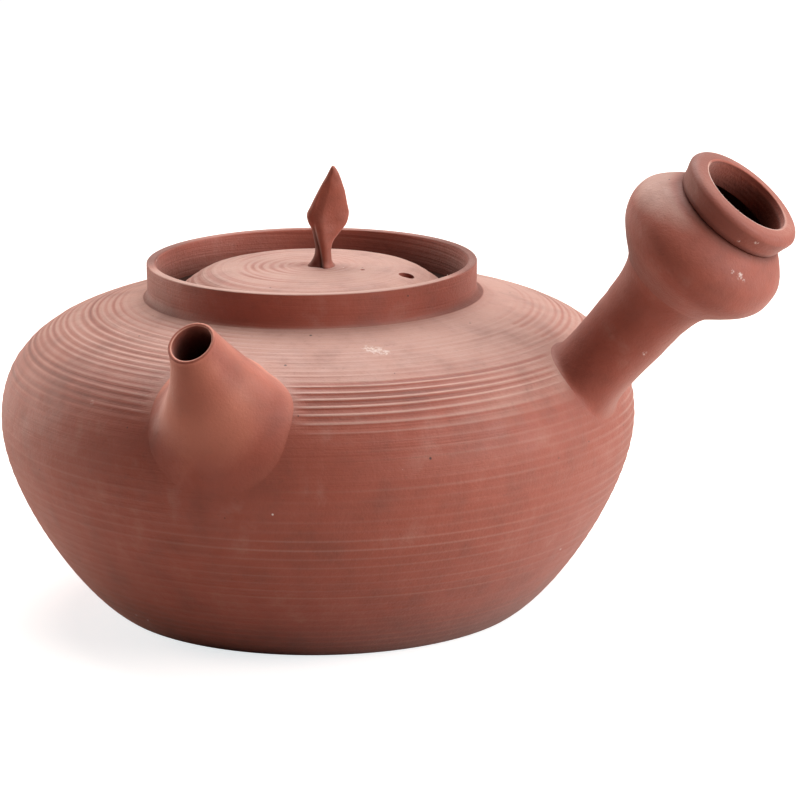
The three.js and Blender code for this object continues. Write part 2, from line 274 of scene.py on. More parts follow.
@dataclass
class Skin:
    """Rows of points, from which a closed mesh is made.

    Each row runs once around. The rows end in a pole, or the last row joins the first.
    """

    rows: Array
    tone: Array
    poles: bool = False

    @classmethod
    def joined(cls, *runs: tuple[Array, Array | float], poles: bool = False) -> "Skin":
        """A skin of several runs of rows, each given with its tone."""
        tones = [np.broadcast_to(tone, rows.shape[:2]) for rows, tone in runs]
        return cls(np.concatenate([rows for rows, _ in runs]), np.concatenate(tones), poles)

    def corners(self) -> tuple[Array, Array]:
        """The points and tones as flat lists, with each pole drawn into one point.

        Returns:
            The points, and their tones.
        """
        points, tones = self.rows.reshape(-1, 3), self.tone.reshape(-1)
        if not self.poles:
            return points, tones
        inner = slice(self.rows.shape[1], -self.rows.shape[1])
        ends = [self.rows[end].mean(axis=0) for end in (0, -1)]
        end_tones = [self.tone[end].mean() for end in (0, -1)]
        return np.vstack([points[inner], ends]), np.concatenate([tones[inner], end_tones])

    def faces(self) -> list[list[int]]:
        """The faces between the rows, and the fans round the poles.

        Returns:
            Each face as the numbers of its corners.
        """
        count, around = self.rows.shape[0] - 2 * self.poles, self.rows.shape[1]
        columns = np.arange(around)
        following = (columns + 1) % around
        lows = np.arange(count - self.poles)[:, None]
        highs = (lows + 1) % count * around
        lows = lows * around
        quads = np.stack([lows + columns, lows + following, highs + following, highs + columns], axis=-1)
        quads = quads.reshape(-1, 4).tolist()
        if not self.poles:
            return quads
        pole, edge = count * around, (count - 1) * around
        pairs = list(zip(columns.tolist(), following.tolist()))
        fans = [[pole, b, a] for a, b in pairs]
        return quads + fans + [[pole + 1, edge + a, edge + b] for a, b in pairs]

    def make(self, name: str, crease_angle: float = CREASE_ANGLE) -> Piece:
        """Makes the mesh object, its faces pointing out.

        Args:
            name: The piece's name.
            crease_angle: Edges sharper than this many degrees stay sharp.

        Returns:
            The object, linked to the scene.
        """
        points, tones = self.corners()
        faces = self.faces()
        thirds = np.array([[f[0], f[i], f[i + 1]] for f in faces for i in range(1, len(f) - 1)])
        a, b, c = (points[thirds[:, corner]] for corner in range(3))
        if np.einsum("ij,ij->i", a, np.cross(b, c)).sum() < 0:
            faces = [face[::-1] for face in faces]
        mesh = bpy.data.meshes.new(name)
        mesh.from_pydata((points * MM).tolist(), [], faces)
        mesh.attributes.new("tone", "FLOAT", "POINT").data.foreach_set("value", tones.astype(np.float32))
        mesh.update()
        smooth(mesh, crease_angle)
        return put(name, mesh)


def revolve(outline: Array, around: int) -> Array:
    """An outline turned about the upright axis.

    Args:
        outline: Rows of a radius and a height.
        around: How many points each row gets.

    Returns:
        The rows of points.
    """
    x, y = outline[:, :1] * np.cos(turn_angles(around)), outline[:, :1] * np.sin(turn_angles(around))
    return np.stack([x, y, np.broadcast_to(outline[:, 1:], x.shape)], axis=-1)


def outline_normals(outline: Array) -> Array:
    """Unit vectors to the right of an outline's run at each point."""
    run = np.gradient(outline, axis=0)
    return np.stack([run[:, 1], -run[:, 0]], axis=1) / np.maximum(np.linalg.norm(run, axis=1)[:, None], 1e-9)


def rod(radius: float, low: float, high: float, sides: int, taper: float = 1.0) -> Array:
    """A closed upright rod that serves as a cutter.

    Args:
        radius: Its radius at the top.
        low: Height of its lower end.
        high: Height of its upper end.
        sides: How many sides it has.
        taper: Share of the radius that is left at the lower end.

    Returns:
        The rod's rows, from pole to pole.
    """
    return revolve(np.array([[0, low], [radius * taper, low], [radius, high], [0, high]], float), sides)


def drill(piece: Piece, cutters: Sequence[Array], tone: float) -> None:
    """Cuts holes in a piece.

    Args:
        piece: The piece to cut.
        cutters: The rows of a closed skin for each hole.
        tone: The tone given where it is cut, which paints shade in the hole.
    """
    for number, rows in enumerate(cutters):
        tool = Skin.joined((rows, tone), poles=True).make(f"{piece.name}_cutter_{number}")
        cut = piece.modifiers.new("cut", "BOOLEAN")
        cut.operation, cut.solver, cut.object = "DIFFERENCE", "MANIFOLD", tool
        bpy.context.view_layer.update()
        whole = bpy.data.meshes.new_from_object(piece.evaluated_get(bpy.context.evaluated_depsgraph_get()))
        piece.modifiers.clear()
        piece.data = whole
        bpy.data.objects.remove(tool)
    smooth(piece.data)


# ---- finishes


class NodeBoard:
    """A node tree, with short calls for the nodes that clay needs."""

    def __init__(self, owner: bpy.types.ID) -> None:
        """Empties a node tree.

        Args:
            owner: The material or the world that the tree is of.
        """
        owner.use_nodes = True
        self.tree = owner.node_tree
        self.tree.nodes.clear()

    def add(self, kind: str, feeds: dict[str | int, object] | None = None, **settings: str) -> bpy.types.Node:
        """Adds a node.

        Args:
            kind: The shader node's kind, in Blender's words.
            feeds: What goes into its inputs, by their names or numbers.
            **settings: The node's own settings.

        Returns:
            The node.
        """
        node = self.tree.nodes.new("ShaderNode" + kind)
        for name, value in settings.items():
            setattr(node, name, value)
        for name, value in (feeds or {}).items():
            socket = node.inputs[name]
            if isinstance(value, Socket):
                self.tree.links.new(value, socket)
            else:
                socket.default_value = (*value, 1) if socket.type == "RGBA" else value
        return node

    def math(self, operation: str, first: object, second: object = 0.0) -> Socket:
        """The result of a sum on one or two values."""
        return self.add("Math", {0: first, 1: second}, operation=operation).outputs[0]

    def ramp(self, value: Socket, low: float, high: float, start: float = 0, end: float = 1) -> Socket:
        """A value carried smoothly from the range low to high over to the range start to end."""
        feeds = dict(enumerate((value, low, high, start, end)))
        return self.add("MapRange", feeds, interpolation_type="SMOOTHSTEP").outputs[0]

    def noise(self, place: Socket, scale: float, detail: float = 3, rough: float = 0.55) -> Socket:
        """Soft noise with features of about one part in scale of a metre."""
        feeds = {"Vector": place, "Scale": scale, "Detail": detail, "Roughness": rough}
        return self.add("TexNoise", feeds).outputs["Fac"]

    def mix(self, share: Socket, first: Socket | Colour, second: Socket | Colour) -> Socket:
        """A colour between two others."""
        return self.add("Mix", {0: share, 6: first, 7: second}, data_type="RGBA").outputs[2]


@dataclass(frozen=True)
class Mark:
    """A chalky scuff or a dark pinhole on the clay: where it is and how far it reaches."""

    place: Point
    reach: float
    chalk: bool = True
    core: float = 0.35

    def paint(self, board: NodeBoard, place: Socket, colour: Socket) -> Socket:
        """Adds this mark to a colour, ragged where it is chalk.

        Args:
            board: The finish's nodes.
            place: Where on the piece a point lies.
            colour: The colour under the mark.

        Returns:
            The colour with the mark.
        """
        middle = [number * MM for number in self.place]
        apart = board.add("VectorMath", {0: place, 1: middle}, operation="DISTANCE").outputs["Value"]
        share = board.ramp(apart, self.reach * MM, self.reach * self.core * MM)
        if not self.chalk:
            return board.mix(share, colour, DARK_PIT)
        ragged = board.ramp(board.noise(place, 1300, 4, 0.7), 0.44, 0.60)
        return board.mix(board.math("MULTIPLY", share, ragged), colour, CHALK)


@dataclass(frozen=True)
class ClayFinish:
    """Fired, unglazed red-brown clay, with painted top light that makes what faces up paler."""

    name: str
    body: Colour = (0.360, 0.076, 0.043)
    # deep: the clay's darker mottling, and the colour of painted shade in grooves, creases and joints.
    deep: Colour = (0.150, 0.042, 0.027)
    # pale_clay_and_light: the clay's paler mottling, and the colour of painted top light and painted
    # highlights.
    pale_clay_and_light: Colour = (0.520, 0.285, 0.228)
    # hollow_shade: painted shade in hollows, gaps and bores, at tone -1 to -2.
    hollow_shade: Colour = (0.030, 0.010, 0.006)
    # edge_highlight: a painted highlight on lips and rims, at tone 1 to 2.
    edge_highlight: Colour = (0.780, 0.600, 0.530)
    # The painted top light: its strength, and the upward share of the normal where it starts and where it is
    # full.
    top_light_share: float = 0.85
    top_light_from: float = 0.48
    top_light_full: float = 0.90
    roughness: float = 0.64
    roughness_spread: float = 0.07
    sheen: float = 0.30
    sheen_tint: Colour = (1.0, 0.82, 0.76)
    patch_scale: float = 26
    cloud_scale: float = 95
    speckle_scale: float = 900
    dull_scale: float = 160
    grain_scale: float = 1500
    coarse_scale: float = 380
    grain: float = 0.10
    line_strength: float = 0.5
    line_length: float = 12.0
    lines_per_metre: float = 1400.0
    turning: Turning = Turning.ABOUT_AXIS
    marks: tuple[Mark, ...] = ()

    def make(self) -> bpy.types.Material:
        """Builds the material, whose gloss and sheen fade where painted shade darkens hollows, gaps and
        joints.

        Returns:
            The clay's material, in object space.
        """
        material = bpy.data.materials.new(self.name)
        board = NodeBoard(material)
        place = board.add("TexCoord").outputs["Object"]
        tone = board.add("Attribute", attribute_name="tone").outputs["Fac"]
        low, high = self.roughness - self.roughness_spread, self.roughness + self.roughness_spread
        relief = {"Strength": 1.0, "Distance": self.grain * MM, "Height": self._relief(board, place)}
        shader = board.add("BsdfPrincipled", {
            "Base Color": self._colour(board, place, tone),
            "Roughness": board.ramp(board.noise(place, self.dull_scale, 4), 0.3, 0.7, low, high),
            "Specular IOR Level": board.ramp(tone, -1.6, -0.6, 0.1, 0.5),
            "Sheen Weight": board.ramp(tone, -1.4, -0.5, 0, self.sheen),
            "Sheen Roughness": 0.55,
            "Sheen Tint": self.sheen_tint,
            "Normal": board.add("Bump", relief).outputs["Normal"],
        })
        board.add("OutputMaterial", {"Surface": shader.outputs["BSDF"]})
        return material

    def _colour(self, board: NodeBoard, place: Socket, tone: Socket) -> Socket:
        """The clay's colour: mottled, with painted top light on what faces up, painted highlights on edges
        and crests, and painted shade in grooves, creases and hollows.

        Args:
            board: The finish's nodes.
            place: Where on the piece a point lies.
            tone: The skin's tone.

        Returns:
            The colour.
        """
        normal = board.add("NewGeometry").outputs["Normal"]
        upward = board.add("SeparateXYZ", {0: normal}).outputs["Z"]
        patches = board.noise(place, self.patch_scale, 4)
        cloud = board.noise(place, self.cloud_scale, 5, 0.6)
        speckle = board.noise(place, self.speckle_scale, 2, 0.7)
        # Painted top light: paler where the surface faces up, and less where painted shade darkens it.
        facing = board.math("ADD", upward, board.ramp(patches, 0.3, 0.7, -0.12, 0.12))
        share = board.math("MULTIPLY", board.ramp(facing, self.top_light_from, self.top_light_full), self.top_light_share)
        share = board.math("MULTIPLY", share, board.ramp(tone, -0.6, 0.0, 0.2, 1.0))
        colour = board.mix(share, self.body, self.pale_clay_and_light)
        # The clay's own darker and paler mottling, then painted shade and painted light by tone.
        layers = (
            (cloud, 0.42, 0.80, 0.40, self.deep), (cloud, 0.46, 0.22, 0.22, self.pale_clay_and_light),
            (speckle, 0.55, 0.78, 0.22, self.deep), (tone, -0.3, -1.0, 0.85, self.deep),
            (tone, 0.0, 1.0, 0.85, self.pale_clay_and_light), (tone, -1.0, -2.0, 1, self.hollow_shade),
            (tone, 1.0, 2.0, 1, self.edge_highlight))
        for value, none_at, most_at, most, paint in layers:
            colour = board.mix(board.ramp(value, none_at, most_at, 0, most), colour, paint)
        for mark in self.marks:
            colour = mark.paint(board, place, colour)
        for scale, size, rarity, paint in ((260, 0.045, 0.955, PALE_GRIT), (330, 0.05, 0.95, DARK_PIT)):
            cells = board.add("TexVoronoi", {"Vector": place, "Scale": scale}).outputs
            pick = board.add("SeparateColor", {0: cells["Color"]}).outputs[0]
            chosen = board.math("GREATER_THAN", pick, rarity)
            near = board.ramp(cells["Distance"], size * 2, size)
            colour = board.mix(board.math("MULTIPLY", near, chosen), colour, paint)
        return colour

    def _relief(self, board: NodeBoard, place: Socket) -> Socket:
        """The fine surface height: grain, and thin turning lines on turned pieces.

        Args:
            board: The finish's nodes.
            place: Where on the piece a point lies.

        Returns:
            The height, from 0 to about 2.
        """
        relief = board.math("ADD", board.noise(place, self.grain_scale, 3, 0.65),
                            board.noise(place, self.coarse_scale, 3))
        if self.turning is Turning.WIPED:
            return relief
        x, y, z = board.add("SeparateXYZ", {0: place}).outputs
        squares = [board.math("MULTIPLY", level, level) for level in (x, y)]
        climb = board.math("SUBTRACT", z, board.math("SQRT", board.math("ADD", *squares)))
        feeds = {axis: board.math("MULTIPLY", level, self.line_length) for axis, level in enumerate((x, y))}
        feeds[2] = board.math("MULTIPLY", climb, self.lines_per_metre)
        lines = board.noise(board.add("CombineXYZ", feeds).outputs[0], 1.0, 2)
        return board.math("ADD", relief, board.math("MULTIPLY", lines, self.line_strength * 3))


# ---- the vessel's wall, which the other pieces meet


@dataclass(frozen=True)
class Wall:
    """The vessel's outer wall in section, before its throwing rings."""

    belly_radius: float = 82.5
    belly_height: float = 49.7
    foot_radius: float = 54.5
    foot_reach: float = 12.6
    foot_slope: float = 33
    lower_pull: float = 16.5
    upper_pull: float = 26.7
    ledge_height: float = 81.4
    shoulder_reach: float = 11.2
    shoulder_slope: float = 20.6
    collar_foot: float = 43.5
    points: int = 300
    rounds: int = 4
    halvings: int = 40
    steps: int = 12
    inward: float = 60

    def outline(self) -> Array:
        """The wall's outline from the foot up to the collar.

        Returns:
            Rows of a radius and a height.
        """
        belly = spot(self.belly_radius, self.belly_height)
        foot, top = spot(self.foot_radius, 0), spot(self.collar_foot, self.ledge_height)
        rise, fall = math.radians(self.foot_slope), -math.radians(self.shoulder_slope)
        lower = bezier(foot, foot + self.foot_reach * spot(math.cos(rise), math.sin(rise)),
                       belly - spot(0, self.lower_pull), belly, self.points)
        upper = bezier(belly, belly + spot(0, self.upper_pull),
                       top + self.shoulder_reach * spot(math.cos(fall), math.sin(fall)), top, self.points)
        return np.vstack([lower, upper[1:]])

    def shoulder(self) -> Array:
        """The outline above the belly, from the belly up."""
        line = self.outline()
        return line[line[:, 1] > self.belly_height]

    def excess(self, spots: Array) -> Array:
        """How far spots lie outside the wall, measured level."""
        radii, heights = self.outline().T
        return np.hypot(spots[..., 0], spots[..., 1]) - np.interp(spots[..., 2], heights, radii)

    def normals(self, spots: Array) -> Array:
        """The wall's directions outward.

        Args:
            spots: Points near the wall.

        Returns:
            A unit vector for each point.
        """
        radii, heights = self.outline().T
        lean = np.interp(spots[..., 2], heights, np.gradient(radii, heights))
        radius = np.hypot(spots[..., 0], spots[..., 1])
        return unit(np.stack([spots[..., 0] / radius, spots[..., 1] / radius, -lean], axis=-1))

    def settle(self, spots: Array) -> Array:
        """Draws spots onto the wall by the shortest way.

        Args:
            spots: Points near the wall.

        Returns:
            The points on the wall.
        """
        for _ in range(self.rounds):
            normal = self.normals(spots)
            level = np.hypot(normal[..., 0], normal[..., 1])
            spots = spots - (self.excess(spots) * level)[..., None] * normal
        return spots

    def meet(self, starts: Array, aims: Array) -> Array:
        """Where straight lines from outside meet the wall.

        Args:
            starts: Where the lines start, outside the wall.
            aims: The lines' unit directions.

        Returns:
            The meeting points.
        """
        near, far = np.zeros(len(starts)), np.full(len(starts), self.inward)
        for _ in range(self.halvings):
            middle = (near + far) / 2
            outside = self.excess(starts + middle[:, None] * aims) > 0
            near, far = np.where(outside, middle, near), np.where(outside, far, middle)
        return starts + near[:, None] * aims

    def walk(self, spots: Array, directions: Array, lengths: Array) -> Array:
        """Walks over the wall from each spot in its own direction.

        Args:
            spots: Where the walks start.
            directions: Which way each walk heads.
            lengths: How long each walk is.

        Returns:
            Where the walks end.
        """
        for _ in range(self.steps):
            normal = self.normals(spots)
            step = unit(directions - (directions * normal).sum(axis=-1, keepdims=True) * normal)
            spots = self.settle(spots + step * (lengths / self.steps)[:, None])
        return spots


@dataclass(frozen=True)
class Root:
    """Where a spout or handle leaves the vessel: an axis, with zero at the wall."""

    wall: Wall
    azimuth: float
    heading: float
    angle: float
    height: float

    def matrix(self) -> Array:
        """The root's frame: local +Z leaves along the axis, and local +X points down the wall.

        Returns:
            The frame as a matrix of four rows.
        """
        turn, heading, tilt = map(math.radians, (self.azimuth, self.heading, 90 - self.angle))
        radii, heights = self.wall.shoulder().T
        radius = float(np.interp(self.height, heights, radii))
        whole = np.eye(4)
        whole[:3, :3] = np.array(Matrix.Rotation(heading, 3, "Z") @ Matrix.Rotation(tilt, 3, "Y"))
        whole[:3, 3] = radius * math.cos(turn), radius * math.sin(turn), self.height
        return whole

    def place(self, local: Array) -> Array:
        """Local points in the part's frame."""
        whole = self.matrix()
        return local @ whole[:3, :3].T + whole[:3, 3]

    def local(self, spots: Array) -> Array:
        """The part's points in this frame."""
        whole = self.matrix()
        return (spots - whole[:3, 3]) @ whole[:3, :3]

    def rays(self, around: int) -> Array:
        """Unit directions away from the axis, once around."""
        return level_rays(turn_angles(around)) @ self.matrix()[:3, :3].T


@dataclass(frozen=True)
class Quadrants:
    """A size that changes around a root: down the wall, to its two sides, and up the wall."""

    down: float
    left: float
    up: float
    right: float

    def around(self, angles: Array) -> Array:
        """The size at each angle from local +X."""
        x, y = np.cos(angles), np.sin(angles)
        return np.where(x > 0, self.down, self.up) * x**2 + np.where(y > 0, self.left, self.right) * y**2


@dataclass(frozen=True)
class LutedSkirt:
    """Clay drawn from a turned side over onto the vessel's wall, tangent to the wall."""

    root: Root
    spread: float
    sink: float = 0.04
    buried: float = 0.5
    lowest: float = -45

    def rows(self, starts: Array, guides: Array, corner: Array, reach: Array, count: int) -> Array:
        """Rows of points from the side down to the wall.

        Args:
            starts: The last ring of the turned side.
            guides: The ring that the side heads for as it leaves the starting ring.
            corner: Where the side would meet the wall without a fillet.
            reach: How far the fillet runs over the wall beyond the corner, once around.
            count: How many rows to give, with the starting ring as the first.

        Returns:
            The rows, in the part's frame.
        """
        end = self.root.wall.walk(corner, self.root.rays(len(starts)), reach)
        rows = bezier(starts, guides, end + (corner - end) * self.spread, end, count)
        depth = self.sink * smooth_step(0.75, 1, np.linspace(0, 1, count))
        return rows - depth[:, None, None] * self.root.wall.normals(rows)

    def rising(self, rows: Array) -> Array:
        """A skirt's rows from below: one that is buried in the wall, then the skirt from its edge up."""
        under = rows[-1] - self.buried * self.root.wall.normals(rows[-1])
        return np.concatenate([under[None], rows[::-1]])

    def wiped(self, spots: Array, edge: Array) -> Array:
        """How much of the throwing rings is left at spots near the skirt.

        Args:
            spots: Points of the vessel's wall. Those below lowest are out of the skirt's reach.
            edge: The skirt's last row.

        Returns:
            A share from 0, at the skirt, to 1.
        """
        edge, here = self.root.local(edge), self.root.local(spots)
        angles = np.mod(np.arctan2(edge[:, 1], edge[:, 0]), FULL_TURN)
        order = np.argsort(angles)
        edge_reach = np.hypot(edge[order, 0], edge[order, 1])
        turn = np.mod(np.arctan2(here[..., 1], here[..., 0]), FULL_TURN)
        limit = np.interp(turn, angles[order], edge_reach, period=FULL_TURN)
        ratio = np.hypot(here[..., 0], here[..., 1]) / limit
        return np.where(here[..., 2] < self.lowest, 1, smooth_step(0.97, 1.24, ratio))


@dataclass(frozen=True)
class ThrowingRings:
    """The spiral of raised crests that fingers leave between their shallow troughs, with a painted highlight
    on each crest and painted shade in each trough.

    Each row of sides gives an azimuth, the rings' strength there, and a crest's share of the pitch.
    """

    seed: int
    sides: Table
    wander: float = 0.10
    trough: float = 0.30
    fine_rate: float = 2.37
    fine_share: float = 0.2
    plain_share: float = 0.15

    def relief(self, phase: Array, turn: Array) -> tuple[Array, Array]:
        """The rings' height and tone.

        Args:
            phase: Rings passed along the outline, one column.
            turn: Place around the wall in turns, one row.

        Returns:
            The height in millimetres for rings of full depth, and the tone, which paints the crests'
            highlights and the troughs' shade.
        """
        run = (phase - phase.min()) / np.ptp(phase)
        rings = max(4, int(np.ptp(phase)))
        place = phase + turn + SmoothNoise(self.seed, 5, 14).sample(turn, run) * self.wander
        azimuths, *columns = np.array(self.sides).T
        strength, crest_share = (np.interp(signed(turn * 360), azimuths, column) for column in columns)
        crest = bump(place, np.round(place), crest_share)
        fine_place = self.fine_rate * place + 0.3
        fine = bump(fine_place, np.round(fine_place), self.fine_share)
        uneven = SmoothNoise(self.seed + 1, 7, rings).sample(turn, run)
        fine_uneven = SmoothNoise(self.seed + 2, 11, 2 * rings).sample(turn, run)
        strength = strength * np.clip(0.85 + 0.40 * uneven, 0.15, 1.6)
        fine_size = np.clip(0.15 + 0.25 * fine_uneven, 0, 0.6)
        height = strength * (crest + self.trough * np.cos(FULL_TURN * place)) + fine * fine_size * 0.5
        sharp = self.plain_share / crest_share
        # Painted highlight on the crests, painted shade in the troughs.
        tone = strength * (0.85 * sharp**2 * crest - 0.42 / sharp**0.5 * (1 - crest))
        return height, np.clip(tone + 0.2 * fine * fine_size, -1, 1)


# ---- sub-assemblies


@dataclass
class Dressing:
    """Gives a piece its body and finish, and hides the node that it stands for."""

    body: Body
    slot: Slot
    finish: bpy.types.Material

    def apply(self, piece: Piece, *nodes: str) -> Piece:
        """Dresses a piece and reports it.

        Args:
            piece: The finished mesh object.
            *nodes: The nodes that it replaces.

        Returns:
            The same piece.
        """
        piece.data.materials.clear()
        piece.data.materials.append(self.finish)
        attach(piece, self.body.value)
        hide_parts(*nodes)
        log.info("%s: %d faces, on %s", piece.name, len(piece.data.polygons), self.body.value)
        return piece


@dataclass
class Spout:
    """The short pouring spout: a rounded lip, a plain cone and a wide luted root.

    Each row of foot gives an angle round the axis, the radius of the side where it meets the
    wall, the fillet's reach, and the radius and height that the side heads for on its way down.
    Each row of shade gives an angle and the side's tone there: painted light, strongest on the lower
    side, which fades from the second of the plain rows down to the first.
    """

    wall: Wall
    azimuth: float = -83.7
    heading: float = -93.0
    angle: float = 48
    height: float = 72.7
    length: float = 17.2
    lip_radius: float = 6.2
    lip_wall: float = 1.1
    hole_radius: float = 8
    around: int = 168
    skirt_rows: int = 64
    bore_rows: int = 24
    plain_rows: tuple[int, int] = (14, 46)
    brow_light_tone: float = 0.2
    lip_highlight_tone: float = 1.3
    foot: Table = (
        (-180, 9.6, 2.6, 8, 4), (-135, 9.4, 3, 7.2, 3), (-100, 10.2, 3, 6.7, 2),
        (-70, 12.9, 2.4, 7.2, 2), (-48, 15.6, 3.4, 9.8, 3), (-26, 19.4, 6, 14.6, 3.5),
        (-6, 21.6, 8, 18, 3), (24, 22.2, 8.5, 18.5, 3.5), (47, 22.4, 6, 16.3, 4.5),
        (69, 20.8, 3.2, 13.2, 5), (93, 17.8, 1.8, 12.4, 5.5), (105, 15, 1.5, 11.2, 5.5),
        (124, 11.4, 1.5, 9.4, 5.5), (150, 9.8, 2, 8.4, 5), (180, 9.6, 2.6, 8, 4))
    shade: Table = (
        (-180, 0.3), (-120, 0.2), (-75, 0.35), (-45, 0.6), (-15, 0.65), (20, 0.6), (50, 0.55), (75, 0.3),
        (110, 0.35), (150, 0.3), (180, 0.3))
    skirt: LutedSkirt = field(init=False)
    outer: Array = field(init=False)

    def __post_init__(self) -> None:
        """Works out the root and the outer side, which the vessel's rings avoid."""
        root = Root(self.wall, self.azimuth, self.heading, self.angle, self.height)
        self.skirt = LutedSkirt(root, spread=0.55)
        radius, reach, guide, guide_height = spline(self.foot, self.degrees()).T
        high = self.ring(radius, self.length)
        corner = self.wall.meet(high, np.broadcast_to(-root.matrix()[:3, 2], high.shape))
        self.outer = self.skirt.rows(self.ring(self.lip_radius, self.length - self.lip_wall / 2),
                                     self.ring(guide, guide_height), corner, reach, self.skirt_rows)

    def degrees(self) -> Array:
        """The angles once around the axis, between -180 and 180 degrees."""
        return signed(np.degrees(turn_angles(self.around)))

    def ring(self, radius: float | Array, distance: float | Array) -> Array:
        """A ring about the axis.

        Args:
            radius: Its radius, or one for each point.
            distance: How far up the axis it lies, or each point.

        Returns:
            The ring in the part's frame.
        """
        local = level_rays(turn_angles(self.around)) * np.reshape(radius, (-1, 1))
        local[:, 2] = distance
        return self.skirt.root.place(local)

    def skin(self) -> Skin:
        """The side with its painted light, the lip with a painted highlight, and the bore, darkened inward by
        painted shade.

        Returns:
            The closed skin.
        """
        half, bore = self.lip_wall / 2, self.lip_radius - self.lip_wall
        top = self.length - half
        lip = [self.ring(bore + half + half * math.cos(a), top + half * math.sin(a))
               for a in np.linspace(0, math.pi, 11)[1:-1]]
        inside = [self.ring(bore + (self.hole_radius - bore) * share**1.3, top - share * (top + 1.5))
                  for share in np.linspace(0, 1, self.bore_rows)]
        rows = np.concatenate([self.skirt.rising(self.outer), lip, inside])
        low_side = 0.2 + 0.8 * smooth_step(-0.2, 0.6, np.cos(np.radians(self.degrees())))
        near_wall = smooth_step(*self.plain_rows[::-1], np.arange(len(rows)))[:, None] * low_side
        # Painted light round the side, fading out near the wall.
        tone = spline(self.shade, self.degrees())[:, 0] * (1 - near_wall)
        brow = len(self.outer) + 2
        edge = brow + 5
        # Painted light on the lip's outer round and a painted highlight along its edge.
        tone[brow:edge] = self.brow_light_tone
        tone[edge:edge + 2] = self.lip_highlight_tone
        # Painted shade deepening down the bore.
        tone[edge + 2:] = -np.linspace(0.6, 2, len(rows) - edge - 2)[:, None]
        uneven = SmoothNoise(Seed.SPOUT_TONE, 9, 9).sample(turns(self.around), along(len(rows)))
        return Skin(rows, tone + 0.10 * uneven)

    def make(self, dressing: Dressing) -> Piece:
        """Builds the spout."""
        return dressing.apply(self.skin().make("Spout"), "spout")


